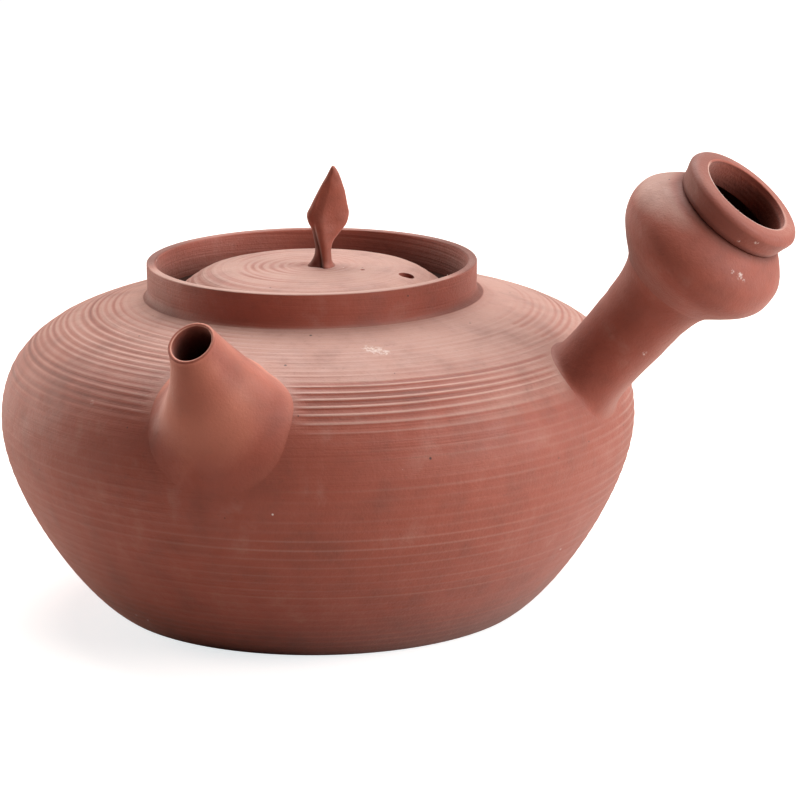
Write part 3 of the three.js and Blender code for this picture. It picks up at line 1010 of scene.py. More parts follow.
@dataclass
class Handle:
    """The hollow handle: a waisted stem, a bulb, and an end ring round an open mouth.

    Heights on it are measured up its axis from the vessel's wall. The bulb's stations give a
    share of the way from the crease to the groove and a radius, and the ring's give a run along
    the side, a radius and a height. The painted shade of the stem and the bulb fades out over their dark
    rows.
    """

    wall: Wall
    angle: float = 49.8
    height: float = 66.9
    crease_at: float = 33.8
    crease_radius: float = 13.2
    waist_at: float = 17.3
    waist_radius: float = 10.3
    bore_radius: float = 7.4
    bore_foot: float = 10.0
    groove_at: float = 57.3
    mouth_at: float = 64.3
    mouth_radius: float = 11.7
    hollow_wall: float = 3
    around: int = 180
    skirt_rows: int = 56
    dark_rows: tuple[int, int] = (22, 40)
    bore_rows: int = 16
    bulb_rows: int = 90
    bulb_dark_rows: tuple[int, int] = (12, 58)
    ring_rows: int = 96
    bulb_stations: Table = (
        (0, 13.2), (0.06, 14.5), (0.17, 17), (0.34, 20.3), (0.53, 21.7), (0.7, 20.9), (0.85, 18.3),
        (0.94, 16.1), (0.98, 15), (1, 14.1))
    ring_stations: Table = (
        (0, 14.1, 57.3), (0.5, 14.65, 57.5), (1.1, 15, 58.4), (2.3, 15.45, 60.1), (3.5, 15.95, 61.7),
        (4.3, 16.05, 62.6), (5.1, 15.55, 63.5), (5.9, 14.8, 64), (7.2, 13.4, 64.3), (8.6, 11.95, 64.3),
        (8.9, 11.75, 64.18), (9.3, 11.7, 63.8))
    flare: Quadrants = Quadrants(down=-1.6, left=0.6, up=-0.7, right=-1.2)
    reach: Quadrants = Quadrants(down=4, left=4, up=2.4, right=3)
    straight: Quadrants = Quadrants(down=0.86, left=0.80, up=0.90, right=0.86)
    shaded_side: Quadrants = Quadrants(down=0, left=0.3, up=1, right=0.7)
    lit_side: Quadrants = Quadrants(down=1, left=0, up=0, right=0.2)
    skirt: LutedSkirt = field(init=False)
    root_rows: Array = field(init=False)

    def __post_init__(self) -> None:
        """Works out the stem's root, which the vessel's rings avoid."""
        root = Root(self.wall, 0, 0, self.angle, self.height)
        self.skirt = LutedSkirt(root, spread=0.6)
        flare, reach, straight = (size.around(turn_angles(self.around))
                                  for size in (self.flare, self.reach, self.straight))
        waist, base = self.turned([[self.waist_radius, self.waist_at], [self.waist_radius, 0]])
        corner = self.wall.meet(waist, unit(base + flare[:, None] * root.rays(self.around) - waist))
        guides = waist + (corner - waist) * straight[:, None]
        self.root_rows = self.skirt.rows(waist, guides, corner, reach, self.skirt_rows)

    def turned(self, outline: Sequence[Sequence[float]]) -> Array:
        """An outline turned about the handle's axis, in the part's frame."""
        return self.skirt.root.place(revolve(np.asarray(outline), self.around))

    def noisy(self, rows: Array, size: float, seed: int) -> Array:
        """Pushes rows in and out a little from the handle's axis, as fingers leave them.

        Args:
            rows: The side's rows. The first and the last stay.
            size: About how far they move.
            seed: The noise's seed.

        Returns:
            The moved rows.
        """
        run = along(len(rows))
        push = SmoothNoise(seed, 6, 7).sample(turns(self.around), run) * size
        return rows + (push * np.sin(np.pi * run))[..., None] * self.skirt.root.rays(self.around)

    def dark(self) -> Array:
        """How deep the painted shade is on each side of the handle, once around."""
        return self.shaded_side.around(turn_angles(self.around))

    def side_light_and_shade(self) -> Array:
        """The tone around the handle: painted shade above and towards the front, painted light below."""
        return 0.35 * self.lit_side.around(turn_angles(self.around)) - 0.38 * self.dark()

    def stem(self) -> Skin:
        """The stem with its bore and its luted root, with painted shade near the wall and in the bore.

        Returns:
            The closed skin.
        """
        waist, crease = spot(self.waist_radius, self.waist_at), spot(self.crease_radius, self.crease_at)
        side = even(bezier(waist, waist + spot(0, 7), crease + spot(-2.4, -3.9), crease, 80), 0.4)
        bore_top, bore_low = self.turned([[self.bore_radius, self.crease_at],
                                          [self.bore_radius, self.bore_foot]])
        foot = self.wall.meet(bore_top, unit(bore_low - bore_top))
        bore = np.linspace(bore_top, foot + 0.2 * self.wall.normals(foot), self.bore_rows)
        side = self.noisy(self.turned(side), 0.08, Seed.STEM)[1:]
        outside = np.concatenate([self.skirt.rising(self.root_rows), side])
        near_wall = smooth_step(*self.dark_rows[::-1], np.arange(len(outside))[:, None])
        # Painted light below, and painted shade above and deepening near the wall.
        tone = self.side_light_and_shade() - 0.30 * self.dark() * near_wall
        return Skin.joined((outside, tone), (bore, STEM_BORE_SHADE_TONE))

    def bulb(self) -> Skin:
        """The hollow bulb, with painted shade towards the crease, in the groove and in its hollow.

        Returns:
            The closed skin.
        """
        shares, radii = np.array(self.bulb_stations).T
        stations = np.column_stack([self.crease_at + (self.groove_at - self.crease_at) * shares, radii])
        places = np.linspace(self.crease_at, self.groove_at, self.bulb_rows)
        side = np.column_stack([spline(stations, places)[:, 0], places])
        inner = (side - outline_normals(side) * self.hollow_wall)[6:-6]
        inner = inner[inner[:, 0] > self.bore_radius][::-1]
        inner = even(np.vstack([[self.mouth_radius, self.groove_at], inner,
                                [self.bore_radius, self.crease_at]]), 0.8)
        near_crease = smooth_step(*self.bulb_dark_rows[::-1], np.arange(len(side)))[:, None]
        # Painted shade near the crease and towards the groove, painted light below.
        tone = near_crease * (self.side_light_and_shade() - 0.60 * self.dark())
        tone[-12:] -= np.linspace(0, 0.95, 12)[:, None]
        outside = self.noisy(self.turned(side), 0.10, Seed.BULB)
        return Skin.joined((outside, tone), (self.turned(inner), HOLLOW_SHADE_TONE))

    def end_ring(self) -> Skin:
        """The end ring and the first part of the mouth's bore, with its turning lines, painted shade by the
        groove and down the bore, and a painted highlight on the lip.

        Returns:
            The closed skin.
        """
        side = spline(self.ring_stations, np.linspace(0, self.ring_stations[-1][0], self.ring_rows))
        depths = np.linspace(side[-1, 1], self.groove_at, 20)[1:]
        bore = np.column_stack([self.mouth_radius + 0.02 * np.sin(depths * 5.2), depths])
        # Painted shade over the ring, deepest by the groove.
        tone = -0.42 - 0.35 * self.dark() + np.zeros((len(side), 1))
        tone[:16] -= np.linspace(0.8, 0, 16)[:, None]
        angles = turn_angles(self.around)
        # A painted highlight along the lip on one side.
        lip = (side[:, 0] < self.mouth_radius + 0.5) & (side[:, 1] > self.mouth_at - 0.3)
        tone[lip] = 2.2 * np.clip(-np.sin(angles), 0, 1) ** 0.5 - 0.3
        depth = along(len(bore))
        low_side = smooth_step(-0.9, 0.7, np.cos(angles)) * smooth_step(0, 0.3, depth)
        # Painted shade deepening down the bore and on its lower side.
        bore_tone = -0.15 - 0.7 * depth - 1.0 * low_side
        return Skin.joined((self.turned(side), tone), (self.turned(bore), bore_tone))

    def make(self, dressing: Dressing) -> list[Piece]:
        """Builds the stem, the bulb and the end ring.

        Args:
            dressing: The handle's finish and where it belongs.

        Returns:
            The three pieces.
        """
        return [dressing.apply(skin.make(name), node) for skin, name, node in (
            (self.stem(), "HandleStem", "handle_stem"), (self.bulb(), "HandleBulb", "handle_bulb"),
            (self.end_ring(), "HandleEndRing", "handle_end_ring"))]


@dataclass
class Vessel:
    """The thrown vessel: a squat round body with throwing rings, a ledge and a flat base.

    Each point of the heel's curve gives a radius beyond the foot's, and a height. Ring pitches are
    given by height. The rows of ring depths and of painted shading give a height and the value at
    each of the table azimuths; the painted shading darkens the foot and parts of the shoulder and lightens
    the belly.
    """

    wall: Wall
    wall_thickness: float = 2.8
    base_thickness: float = 3.6
    ledge_thickness: float = 3.2
    mouth_radius: float = 32.4
    floor_reach: float = 14
    around: int = 300
    spacing: float = 0.22
    heel: Table = ((-1, 0), (-0.5, 0), (-0.15, 0.02), (0.1, 0.12))
    ripple_depth: float = 0.22
    ripple_pitch: float = 5.5
    ring_pitches: Table = (
        (0, 2.6), (20, 2.6), (35, 2.8), (45, 2.7), (58, 2.35), (66, 2.4), (71, 2), (75, 1.95), (81.4, 2.2))
    table_azimuths: tuple[float, ...] = (-180, -115, -62, -38, -10, 22, 180)
    ring_depths: Table = (
        (0, 0, 0, 0, 0, 0, 0, 0), (5, 0.02, 0.02, 0.02, 0.02, 0.01, 0.02, 0.02),
        (14, 0.03, 0.03, 0.03, 0.035, 0.02, 0.04, 0.03), (34, 0.05, 0.05, 0.03, 0.03, 0.02, 0.07, 0.05),
        (44, 0.05, 0.05, 0.015, 0.02, 0.015, 0.1, 0.05), (57, 0.05, 0.05, 0.008, 0.02, 0.015, 0.1, 0.05),
        (62, 0.06, 0.05, 0.02, 0.03, 0.01, 0.07, 0.06), (66, 0.07, 0.06, 0.1, 0.06, 0.03, 0.05, 0.07),
        (69, 0.08, 0.08, 0.14, 0.09, 0.06, 0.06, 0.08), (73, 0.13, 0.15, 0.13, 0.09, 0.06, 0.08, 0.13),
        (75.5, 0.16, 0.23, 0.08, 0.08, 0.08, 0.08, 0.16), (78, 0.09, 0.27, 0.07, 0.06, 0.06, 0.05, 0.1),
        (79.6, 0.03, 0.14, 0.05, 0.03, 0.02, 0.02, 0.03), (80.7, 0.01, 0.04, 0.01, 0.01, 0.01, 0.01, 0.01),
        (81.4, 0, 0, 0, 0, 0, 0, 0))
    painted_shading: Table = (
        (0, -0.4, -0.5, -0.7, -0.75, -0.85, -0.85, -0.4),
        (10, -0.2, -0.3, -0.45, -0.5, -0.55, -0.45, -0.2), (20, 0.05, 0.05, 0.04, 0.04, 0.08, 0.15, 0.05),
        (35, 0.1, 0.12, 0.1, 0.1, 0.16, 0.26, 0.1), (50, 0.06, 0.1, 0.06, 0.14, 0.2, 0.27, 0.06),
        (57, 0, 0, 0.04, 0.24, 0.22, 0.24, 0), (64, -0.3, -0.35, 0, 0.14, 0.12, 0.15, -0.3),
        (69, -0.35, -0.4, 0, -0.12, -0.05, 0, -0.35), (73, -0.2, -0.2, 0, -0.25, -0.2, 0, -0.2),
        (77, 0, 0, 0, 0, 0, 0, 0), (81.4, 0, 0, 0, 0, 0, 0, 0))
    ring_sides: Table = (
        (-180, 1, 0.26), (-100, 1, 0.26), (-75, 1, 0.16), (-30, 1, 0.15), (0, 1, 0.2), (60, 1, 0.26),
        (180, 1, 0.26))

    def outer_rows(self, skirts: Sequence[tuple[LutedSkirt, Array]]) -> tuple[Array, Array]:
        """The outer wall with its rings, wiped smooth round what is luted on.

        Args:
            skirts: Each skirt with its last row.

        Returns:
            The rows of points, and their tones.
        """
        outline = even(self.wall.outline(), self.spacing)
        pitch = np.interp(outline[:, 1], *np.array(self.ring_pitches).T)
        phase = np.cumsum(np.diff(run_lengths(outline), prepend=0) / pitch)[:, None]
        turn = turns(self.around)
        height, tone = ThrowingRings(Seed.THROWING, self.ring_sides).relief(phase, turn)
        rows = revolve(outline, self.around)
        left = self.at_places(self.ring_depths, outline[:, 1])
        for skirt, edge in skirts:
            left = left * skirt.wiped(rows, edge)
        # Painted shade in the troughs is softer high on the shoulder, from about -90 degrees round to 0.
        soft_troughs = smooth_step(71, 76, outline[:, 1:]) * smooth_step(-0.26, -0.20, turn - 1)
        tone = tone * np.clip(left / 0.10, 0, 1) * np.where(tone < 0, 1 - 0.7 * soft_troughs, 1)
        # Painted shading by height: darker near the foot and on parts of the shoulder, lighter on the belly.
        tone = tone + self.at_places(self.painted_shading, outline[:, 1])
        # Painted shade on the shoulder just round the collar's foot.
        tone = tone - 0.15 * smooth_step(46.5, 44.5, outline[:, :1]) * smooth_step(75, 80, outline[:, 1:])
        return rows + (height * left)[..., None] * self.wall.normals(rows), tone

    def at_places(self, stations: Table, heights: Array) -> Array:
        """A table's values between its stations.

        Args:
            stations: Rows of a height and its values at the table azimuths.
            heights: Heights on the wall.

        Returns:
            One row for each height, once around.
        """
        keys, *columns = np.array(stations).T
        at_sides = np.stack([np.interp(heights, keys, column) for column in columns], axis=1)
        azimuths = signed(turns(self.around)[0] * 360)
        return np.stack([np.interp(azimuths, self.table_azimuths, row) for row in at_sides])

    def inner_outline(self) -> Array:
        """The inside, from the ledge's edge down the wall and over the floor, rippled by fingers.

        Returns:
            Rows of a radius and a height.
        """
        outer, floor_height = self.wall.outline(), self.base_thickness
        inner = outer - outline_normals(outer) * self.wall_thickness
        top = self.wall.ledge_height - self.ledge_thickness
        kept = inner[(inner[:, 1] > floor_height + self.wall_thickness) & (inner[:, 1] < top)][::-1]
        bend = kept[-1]
        floor = bezier(bend, bend + (kept[-1] - kept[-8]), spot(bend[0] - 8, floor_height),
                       spot(bend[0] - self.floor_reach, floor_height), 12)
        side = even(np.vstack([kept, floor[1:]]), 1.1)
        runs = run_lengths(side)
        ripple = self.ripple_depth * np.sin(runs * FULL_TURN / self.ripple_pitch)
        ripple = ripple * smooth_step(0, 8, runs) * smooth_step(0, 12, runs[-1] - runs)
        return side + outline_normals(side) * ripple[:, None]

    def skin(self, spout: Spout, handle: Handle) -> Skin:
        """The whole vessel, before its pour hole is cut.

        Args:
            spout: The spout, round which the rings are wiped away.
            handle: The handle, likewise.

        Returns:
            The closed skin.
        """
        ledge, foot = self.wall.ledge_height, self.wall.foot_radius
        mouth, floor = self.mouth_radius, self.base_thickness
        marks = np.linspace(0.5, foot - 1.0, 60)
        base = np.column_stack([marks, 0.10 + 0.08 * np.cos(marks * 2.4)])
        base[-8:, 1] *= np.linspace(1, 0, 8)
        heel = bezier(*(spot(foot + beyond, up) for beyond, up in self.heel), 5)
        under = ledge - self.ledge_thickness
        rim = [[mouth + 1.2, ledge], [mouth + 0.3, ledge - 0.2], [mouth, ledge - 0.9], [mouth, under + 0.6],
               [mouth + 0.8, under]]
        # The ledge in the gap round the lid, darkened as painted shade.
        gap = [[radius, ledge] for radius in (42.0, 41.2, 38, 33.9)]
        below, gap, inside = (revolve(np.vstack(outline), self.around) for outline in (
            [[0, 0.1], base, heel[1:-1]], gap, [rim, self.inner_outline(), [[20, floor], [0, floor]]]))
        outer = self.outer_rows([(spout.skirt, spout.outer[-1]), (handle.skirt, handle.root_rows[-1])])
        return Skin.joined((below, BASE_SHADE_TONE), outer, (gap, LID_GAP_SHADE_TONE), (inside, INSIDE_SHADE_TONE), poles=True)

    def make(self, dressing: Dressing, spout: Spout, handle: Handle) -> Piece:
        """Builds the vessel and cuts its pour hole.

        Args:
            dressing: The vessel's finish and where it belongs.
            spout: The spout, which needs the hole.
            handle: The handle.

        Returns:
            The finished piece.
        """
        piece = self.skin(spout, handle).make("VesselBody")
        drill(piece, [spout.skirt.root.place(rod(spout.hole_radius, -9, 9, 56))], POUR_HOLE_SHADE_TONE)
        return dressing.apply(piece, "vessel_body")


@dataclass(frozen=True)
class Seat:
    """Where the collar and the lid stand: a little off the vessel's own axis."""

    shift: tuple[float, float] = (-1.11, -0.57)

    def moved(self, rows: Array) -> Array:
        """Rows about the vessel's axis, moved over to the seat."""
        return rows + np.array([*self.shift, 0])


@dataclass
class Collar:
    """The low upright collar round the mouth."""

    wall: Wall
    seat: Seat
    rim_radius: float = 42.8
    bore_radius: float = 40.5
    seat_radius: float = 39.6
    height: float = 8.6
    foot_run: float = 1.6
    outer_edge: float = 0.3
    inner_edge: float = 0.5
    edge_highlight_from: float = 75
    side_shade_from: float = 27
    around: int = 300
    bore_rows: int = 27

    def outline(self) -> Array:
        """The section from the foot's edge, up the wall, over the flat rim and down the bore.

        Returns:
            Rows of a radius and a height.
        """
        ledge, rim, outer, inner = self.wall.ledge_height, self.rim_radius, self.outer_edge, self.inner_edge
        top = ledge + self.height
        foot = spot(self.wall.collar_foot + self.foot_run, ledge - 0.35)
        side, corner = spot(rim - 0.15, ledge + 2.4), spot(rim + 0.25, ledge - 0.05)
        fillet = bezier(foot, foot + (corner - foot) * 0.8, side - spot(-0.1, 1.7), side, 24)
        upright = bezier(side, side + spot(0, 1.6), spot(rim, top - outer - 1.2), spot(rim, top - outer), 26)
        bends = np.linspace(0, math.pi / 2, 6)
        bends = np.column_stack([np.cos(bends), np.sin(bends)])
        brow = spot(rim - outer, top - outer) + outer * bends
        lip = spot(self.bore_radius + inner, top - inner) + inner * bends[:, ::-1] * spot(-1, 1)
        bore = lip[-1] + along(self.bore_rows + 1)[1:] * (spot(self.seat_radius, ledge - 0.3) - lip[-1])
        return np.vstack([foot + spot(-0.3, -0.6), fillet, upright[1:], brow[1:], lip, bore])

    def skin(self) -> Skin:
        """The uneven wall, its foot laid on the vessel's shoulder all the way round, with a painted highlight
        along the rim and painted shade on its two sides, at its foot and down its bore.

        Returns:
            The closed skin.
        """
        ledge, outline, turn = self.wall.ledge_height, self.outline(), turns(self.around)
        heights, run, angles = outline[:, 1:], along(len(outline)), turn_angles(self.around)
        push = 0.022 * np.sin(heights * 9 + angles) * smooth_step(ledge + 1, ledge + 3, heights)
        uneven = SmoothNoise(Seed.COLLAR, 8, 3).sample(turn, run)
        push = push + 0.07 * uneven * smooth_step(ledge + 1, ledge + 5, heights)
        rows = self.seat.moved(revolve(outline, self.around) + push[..., None] * level_rays(angles))
        radii, wall_heights = self.wall.shoulder()[::-1].T
        ground = np.interp(np.hypot(rows[1, :, 0], rows[1, :, 1]), radii, wall_heights) - 0.04
        outside = np.arange(len(rows))[:, None] < len(rows) // 2
        settled = np.where(outside, smooth_step(ledge + 2.4, ledge, heights), 0)
        rows[..., 2] += settled * (ground - outline[1, 1])
        # The rim's painted highlight, at the front; elsewhere the rim's top is darker.
        edge_highlight = smooth_step(0.15, 0.75, np.cos(angles + math.radians(self.edge_highlight_from)))
        # Painted shade on the collar's two sides.
        side_shade = smooth_step(0.6, 0.95, np.abs(np.cos(angles - math.radians(self.side_shade_from))))
        tone = np.where(heights > ledge + self.height - 0.25, 1.3 * edge_highlight - 0.5, 0.0)
        # Painted shade at the collar's foot and on its sides.
        tone -= 0.35 * settled + 0.4 * side_shade
        # Painted shade deepening down the bore.
        tone[-self.bore_rows:] = -np.linspace(0.45, 1.1, self.bore_rows)[:, None]
        return Skin(rows, tone + 0.12 * SmoothNoise(Seed.COLLAR_TONE, 6, 3).sample(turn, run))

    def make(self, dressing: Dressing) -> Piece:
        """Builds the collar."""
        return dressing.apply(self.skin().make("NeckCollar"), "neck_collar")


@dataclass
class Lid:
    """The loose sunken lid: a domed plate with a vent, and the ring under it."""

    seat: Seat
    ledge_height: float = 81.4
    radius: float = 34.1
    shoulder_radius: float = 33.5
    shoulder_height: float = 2
    height: float = 7
    edge_height: float = 1
    undercut: float = 0.6
    dish_height: float = 4
    ring_radius: float = 31.4
    ring_wall: float = 2.4
    ring_depth: float = 8
    ring_ease: float = 0.7
    ring_taper: float = 0.6
    vent_radius: float = 2.05
    vent_distance: float = 26
    vent_azimuth: float = 6
    pinhole: tuple[float, float] = (13.2, 0.2)
    pinhole_radius: float = 0.75
    trail_pitch: float = 2.3
    trail_depth: float = 0.085
    around: int = 240
    ring_sides: Table = (
        (-180, 0.8, 0.2), (-120, 0.9, 0.2), (-70, 0.45, 0.2), (0, 0.3, 0.2), (60, 0.4, 0.2), (110, 0.7, 0.2),
        (180, 0.8, 0.2))

    def top_outline(self) -> Array:
        """The lid's top from its edge in to the middle, without rings.

        Returns:
            Rows of a radius and a height.
        """
        ledge, reach, turn_in = self.ledge_height, self.radius, self.shoulder_radius
        edge, shoulder = spot(reach, ledge + self.edge_height), spot(turn_in, ledge + self.shoulder_height)
        crown = spot(0, ledge + self.height)
        bend = bezier(edge, spot(reach, (edge[1] + shoulder[1]) / 2),
                      spot((reach + turn_in) / 2, (2 * shoulder[1] + edge[1]) / 3), shoulder, 30)
        dome = bezier(shoulder, spot(turn_in * 0.79, crown[1] - 0.18), spot(turn_in * 0.86, crown[1]),
                      crown, 200)
        return np.vstack([bend, dome[1:]])

    def plate(self) -> Skin:
        """The plate with its fine rings, darker round the knob's foot, before its holes are cut.

        Returns:
            The closed skin.
        """
        ledge, top, turn = self.ledge_height, even(self.top_outline(), 0.3), turns(self.around)
        phase = run_lengths(top)[:, None] / self.trail_pitch
        height, tone = ThrowingRings(Seed.LID_TRAIL, self.ring_sides, wander=0.16).relief(phase, turn)
        fade = smooth_step(2.5, 12, top[:, :1]) * smooth_step(self.radius, self.radius - 2.5, top[:, :1])
        push = (height * self.trail_depth * fade)[..., None] * revolve(outline_normals(top), self.around)
        seat, dish = self.ring_radius - self.ring_wall - 0.4, ledge + self.dish_height
        under = bezier(spot(0, dish), spot(seat / 2, dish), spot(seat, ledge + self.dish_height / 2),
                       spot(seat, ledge), 16)
        under = np.vstack([under, [self.radius - self.undercut - 0.4, ledge],
                           [self.radius - 0.35, ledge + 0.25]])
        uneven = SmoothNoise(Seed.LID_KNOB_DARKENING, 12, 40).sample(turn, along(len(top)))
        # Darker round the knob's foot.
        tone = tone * fade - 0.35 * bump(top[:, :1], 0, 8) * (1 + 0.6 * uneven)
        underside = self.seat.moved(revolve(under, self.around))
        upside = self.seat.moved(revolve(top, self.around) + push)
        return Skin.joined((underside, UNDERSIDE_SHADE_TONE), (upside, tone), poles=True)

    def ring(self) -> Skin:
        """The locating ring, with eased lower edges and light turning marks.

        Returns:
            The closed skin.
        """
        outer, bore, ease = self.ring_radius, self.ring_radius - self.ring_wall, self.ring_ease
        top, bottom = self.ledge_height + 0.05, self.ledge_height - self.ring_depth
        heights = np.linspace(bottom + ease, top, 26)
        marks = 0.05 * np.sin(heights * 4.5)
        taper = self.ring_taper * (top - heights) / self.ring_depth
        inside = np.column_stack([bore + marks, heights])[::-1]
        outside = np.column_stack([outer - taper - marks, heights])
        middle, half = (outer - self.ring_taper + bore) / 2, (outer - self.ring_taper - bore) / 2
        angles = np.linspace(math.pi, FULL_TURN, 9)[1:-1]
        lip = np.column_stack([middle + half * np.cos(angles), bottom + ease + ease * np.sin(angles)])
        return Skin.joined((self.seat.moved(revolve(np.vstack([inside, lip, outside]), self.around)), 0.0))

    def make(self, dressing: Dressing) -> list[Piece]:
        """Builds the plate, cuts its vent and its pinhole, and builds the ring under it.

        Args:
            dressing: The lid's finish and where it belongs.

        Returns:
            The two pieces.
        """
        plate = self.plate().make("LidPlate")
        azimuth, (radii, heights) = math.radians(self.vent_azimuth), self.top_outline()[::-1].T
        vent = level_rays(azimuth) * self.vent_distance
        surface = float(np.interp(np.hypot(*self.pinhole), radii, heights))
        pinhole = rod(self.pinhole_radius, surface - 0.9, surface + 0.4, 14, taper=0.5)
        vent_rod = rod(self.vent_radius, self.ledge_height - 3, self.ledge_height + 12, 40)
        drill(plate, [self.seat.moved(vent_rod + vent), pinhole + np.array([*self.pinhole, 0])], INSIDE_SHADE_TONE)
        ring = self.ring().make("LidLocatingRing")
        return [dressing.apply(plate, "lid_plate"), dressing.apply(ring, "lid_locating_ring")]


@dataclass
class LeafKnob:
    """The knob: one rolled slip of clay, its stalk folded and its blade a pointed leaf.

    Each station gives a height, the blade's two sides, its thickness, and how far its sides
    cup forward. The sides are measured from the lid's axis across the leaf. Each row of crease
    gives a height, where the fold lies across the leaf, and how deep it is.
    """

    lid: Lid
    facing: float = 27
    shoulder_at: float = 10
    stations: Table = (
        (-1.2, -2.9, 5.7, 7.4, 0), (0, -2.15, 4.85, 6.2, 0), (0.6, -1.7, 4.35, 5.3, 0),
        (1.4, -1.25, 4, 4.6, 0), (2.8, -0.62, 3.85, 4.1, 0), (4.8, -0.35, 3.9, 3.9, 0),
        (6.8, -0.6, 4.55, 3.6, 0.1), (8.2, -0.85, 5.7, 3.2, 0.3), (9.6, -1.2, 6.9, 2.8, 0.6),
        (10.9, -1.9, 7.85, 2.5, 0.9), (12.1, -2.3, 8.3, 2.3, 1), (13.5, -2.38, 8.52, 2.2, 1.1),
        (15.3, -1.55, 8.3, 2.15, 1.1), (17.2, -0.62, 7.92, 2.1, 1), (20.4, 1.05, 7.28, 2, 0.8),
        (22.6, 2.25, 6.65, 1.8, 0.6), (24.5, 3.3, 5.92, 1.6, 0.35), (25.7, 3.95, 5.2, 1.3, 0.15),
        (26.3, 4.35, 4.72, 0.8, 0))
    crease: Table = (
        (-1.2, 1.5, 1), (0.5, 1.35, 1), (4.5, 0.85, 1), (7.5, 0.1, 1), (9.6, -0.35, 0.9),
        (11.5, -0.6, 0.35), (14, -0.4, 0), (26.3, 3.5, 0))
    around: int = 96

    def skin(self) -> Skin:
        """The folded stalk and the cupped blade, its foot sunk a little into the lid, with painted shade and
        a painted highlight in its tone.

        Returns:
            The closed skin.
        """
        low, tip = self.stations[0][0], self.stations[-1][0]
        heights = np.concatenate([np.linspace(low, self.shoulder_at, 70),
                                  np.linspace(self.shoulder_at, tip, 80)[1:]])
        left, right, thick, cup = spline(self.stations, heights).T[..., None]
        crease_at, crease_size = spline(self.crease, heights).T[..., None]
        heights, angles = heights[:, None], turn_angles(self.around)[None]
        cosine, sine = np.cos(angles), np.sin(angles)
        side = np.sign(cosine) * np.abs(cosine) ** 0.92
        front = np.clip(-sine, 0, 1)
        across = (left + right) / 2 + (right - left) / 2 * side
        edge_roll = 0.75 * bump(side, -0.86, 0.16) * smooth_step(8.5, 13, heights)
        edge_roll = edge_roll * smooth_step(26, 19, heights)
        body = np.maximum(thick / 2 * np.abs(sine) ** 0.75, 0.02) * np.sign(sine)
        deep = body * (1 + 0.3 * edge_roll) + 0.7 * cup * np.abs(side + 0.2) ** 1.4
        fold = smooth_step(-0.10, 0.42, across - crease_at) - 0.5
        bulge = bump(across - crease_at, 1.6, 2.1) * smooth_step(21, 6, heights)
        deep = deep - front**0.5 * (0.85 * crease_size * fold + 0.9 * bulge)
        run = np.clip((heights - low) / (tip - low), 0, 1)
        ragged = SmoothNoise(Seed.LEAF, 9, 16).sample(turns(self.around), run)
        slip = np.exp(-np.maximum(heights, 0) / 0.9)
        across = across + ragged * (0.05 + 0.45 * slip) * cosine
        deep = deep + ragged * (0.05 + 0.35 * slip) * sine
        x_axis, y_axis = level_rays(np.radians([self.facing, self.facing + 90]))
        crown = np.array([0, 0, self.lid.ledge_height + self.lid.height])
        rows = crown + across[..., None] * x_axis + deep[..., None] * y_axis
        rows[..., 2] += heights
        stalk = smooth_step(12, 7, heights)
        # Painted shade in the crease, along the blade's left edge and the stalk's left, a painted highlight
        # on the ridge beside the crease, and darker at the foot and on the stalk.
        tones = (
            (-0.9, bump(across - crease_at, 0, 0.4) * crease_size * front),
            (-0.5, bump(side, -1, 0.25) * smooth_step(14, 20, heights)),
            (-0.5, smooth_step(0.3, -0.3, across - crease_at) * stalk),
            (0.35, bump(across - crease_at, 2.2, 1.1) * smooth_step(16, 8, heights) * front),
            (-0.4, slip), (-0.4, stalk), (0.08, ragged))
        return Skin(rows, np.clip(sum(size * where for size, where in tones), -2, 1), poles=True)

    def make(self, dressing: Dressing) -> Piece:
        """Builds the knob."""
        return dressing.apply(self.skin().make("LeafKnob", crease_angle=70), "lid_knob")


# ---- studio


def outward(azimuth: float, elevation: float) -> Vector:
    """The direction out to an azimuth, counted from the front, and an elevation."""
    turn, rise = math.radians(azimuth), math.radians(elevation)
    return Vector((math.sin(turn) * math.cos(rise), -math.cos(turn) * math.cos(rise), math.sin(rise)))


@dataclass(frozen=True)
class SoftLight:
    """A large soft lamp that points at the kettle, with its distance and size in metres."""

    name: str
    azimuth: float
    elevation: float
    distance: float
    size: float
    power: float
    colour: Colour = (1.0, 0.985, 0.965)

    def make(self, target: Vector) -> Piece:
        """Places the lamp.

        Args:
            target: The point that it lights.

        Returns:
            The lamp.
        """
        away = outward(self.azimuth, self.elevation)
        data = bpy.data.lights.new(self.name, "AREA")
        data.shape, data.size, data.energy, data.color = "DISK", self.size, self.power, self.colour
        lamp = put(self.name, data)
        lamp.location = target + away * self.distance
        lamp.rotation_euler = away.to_track_quat("Z", "Y").to_euler()
        return lamp


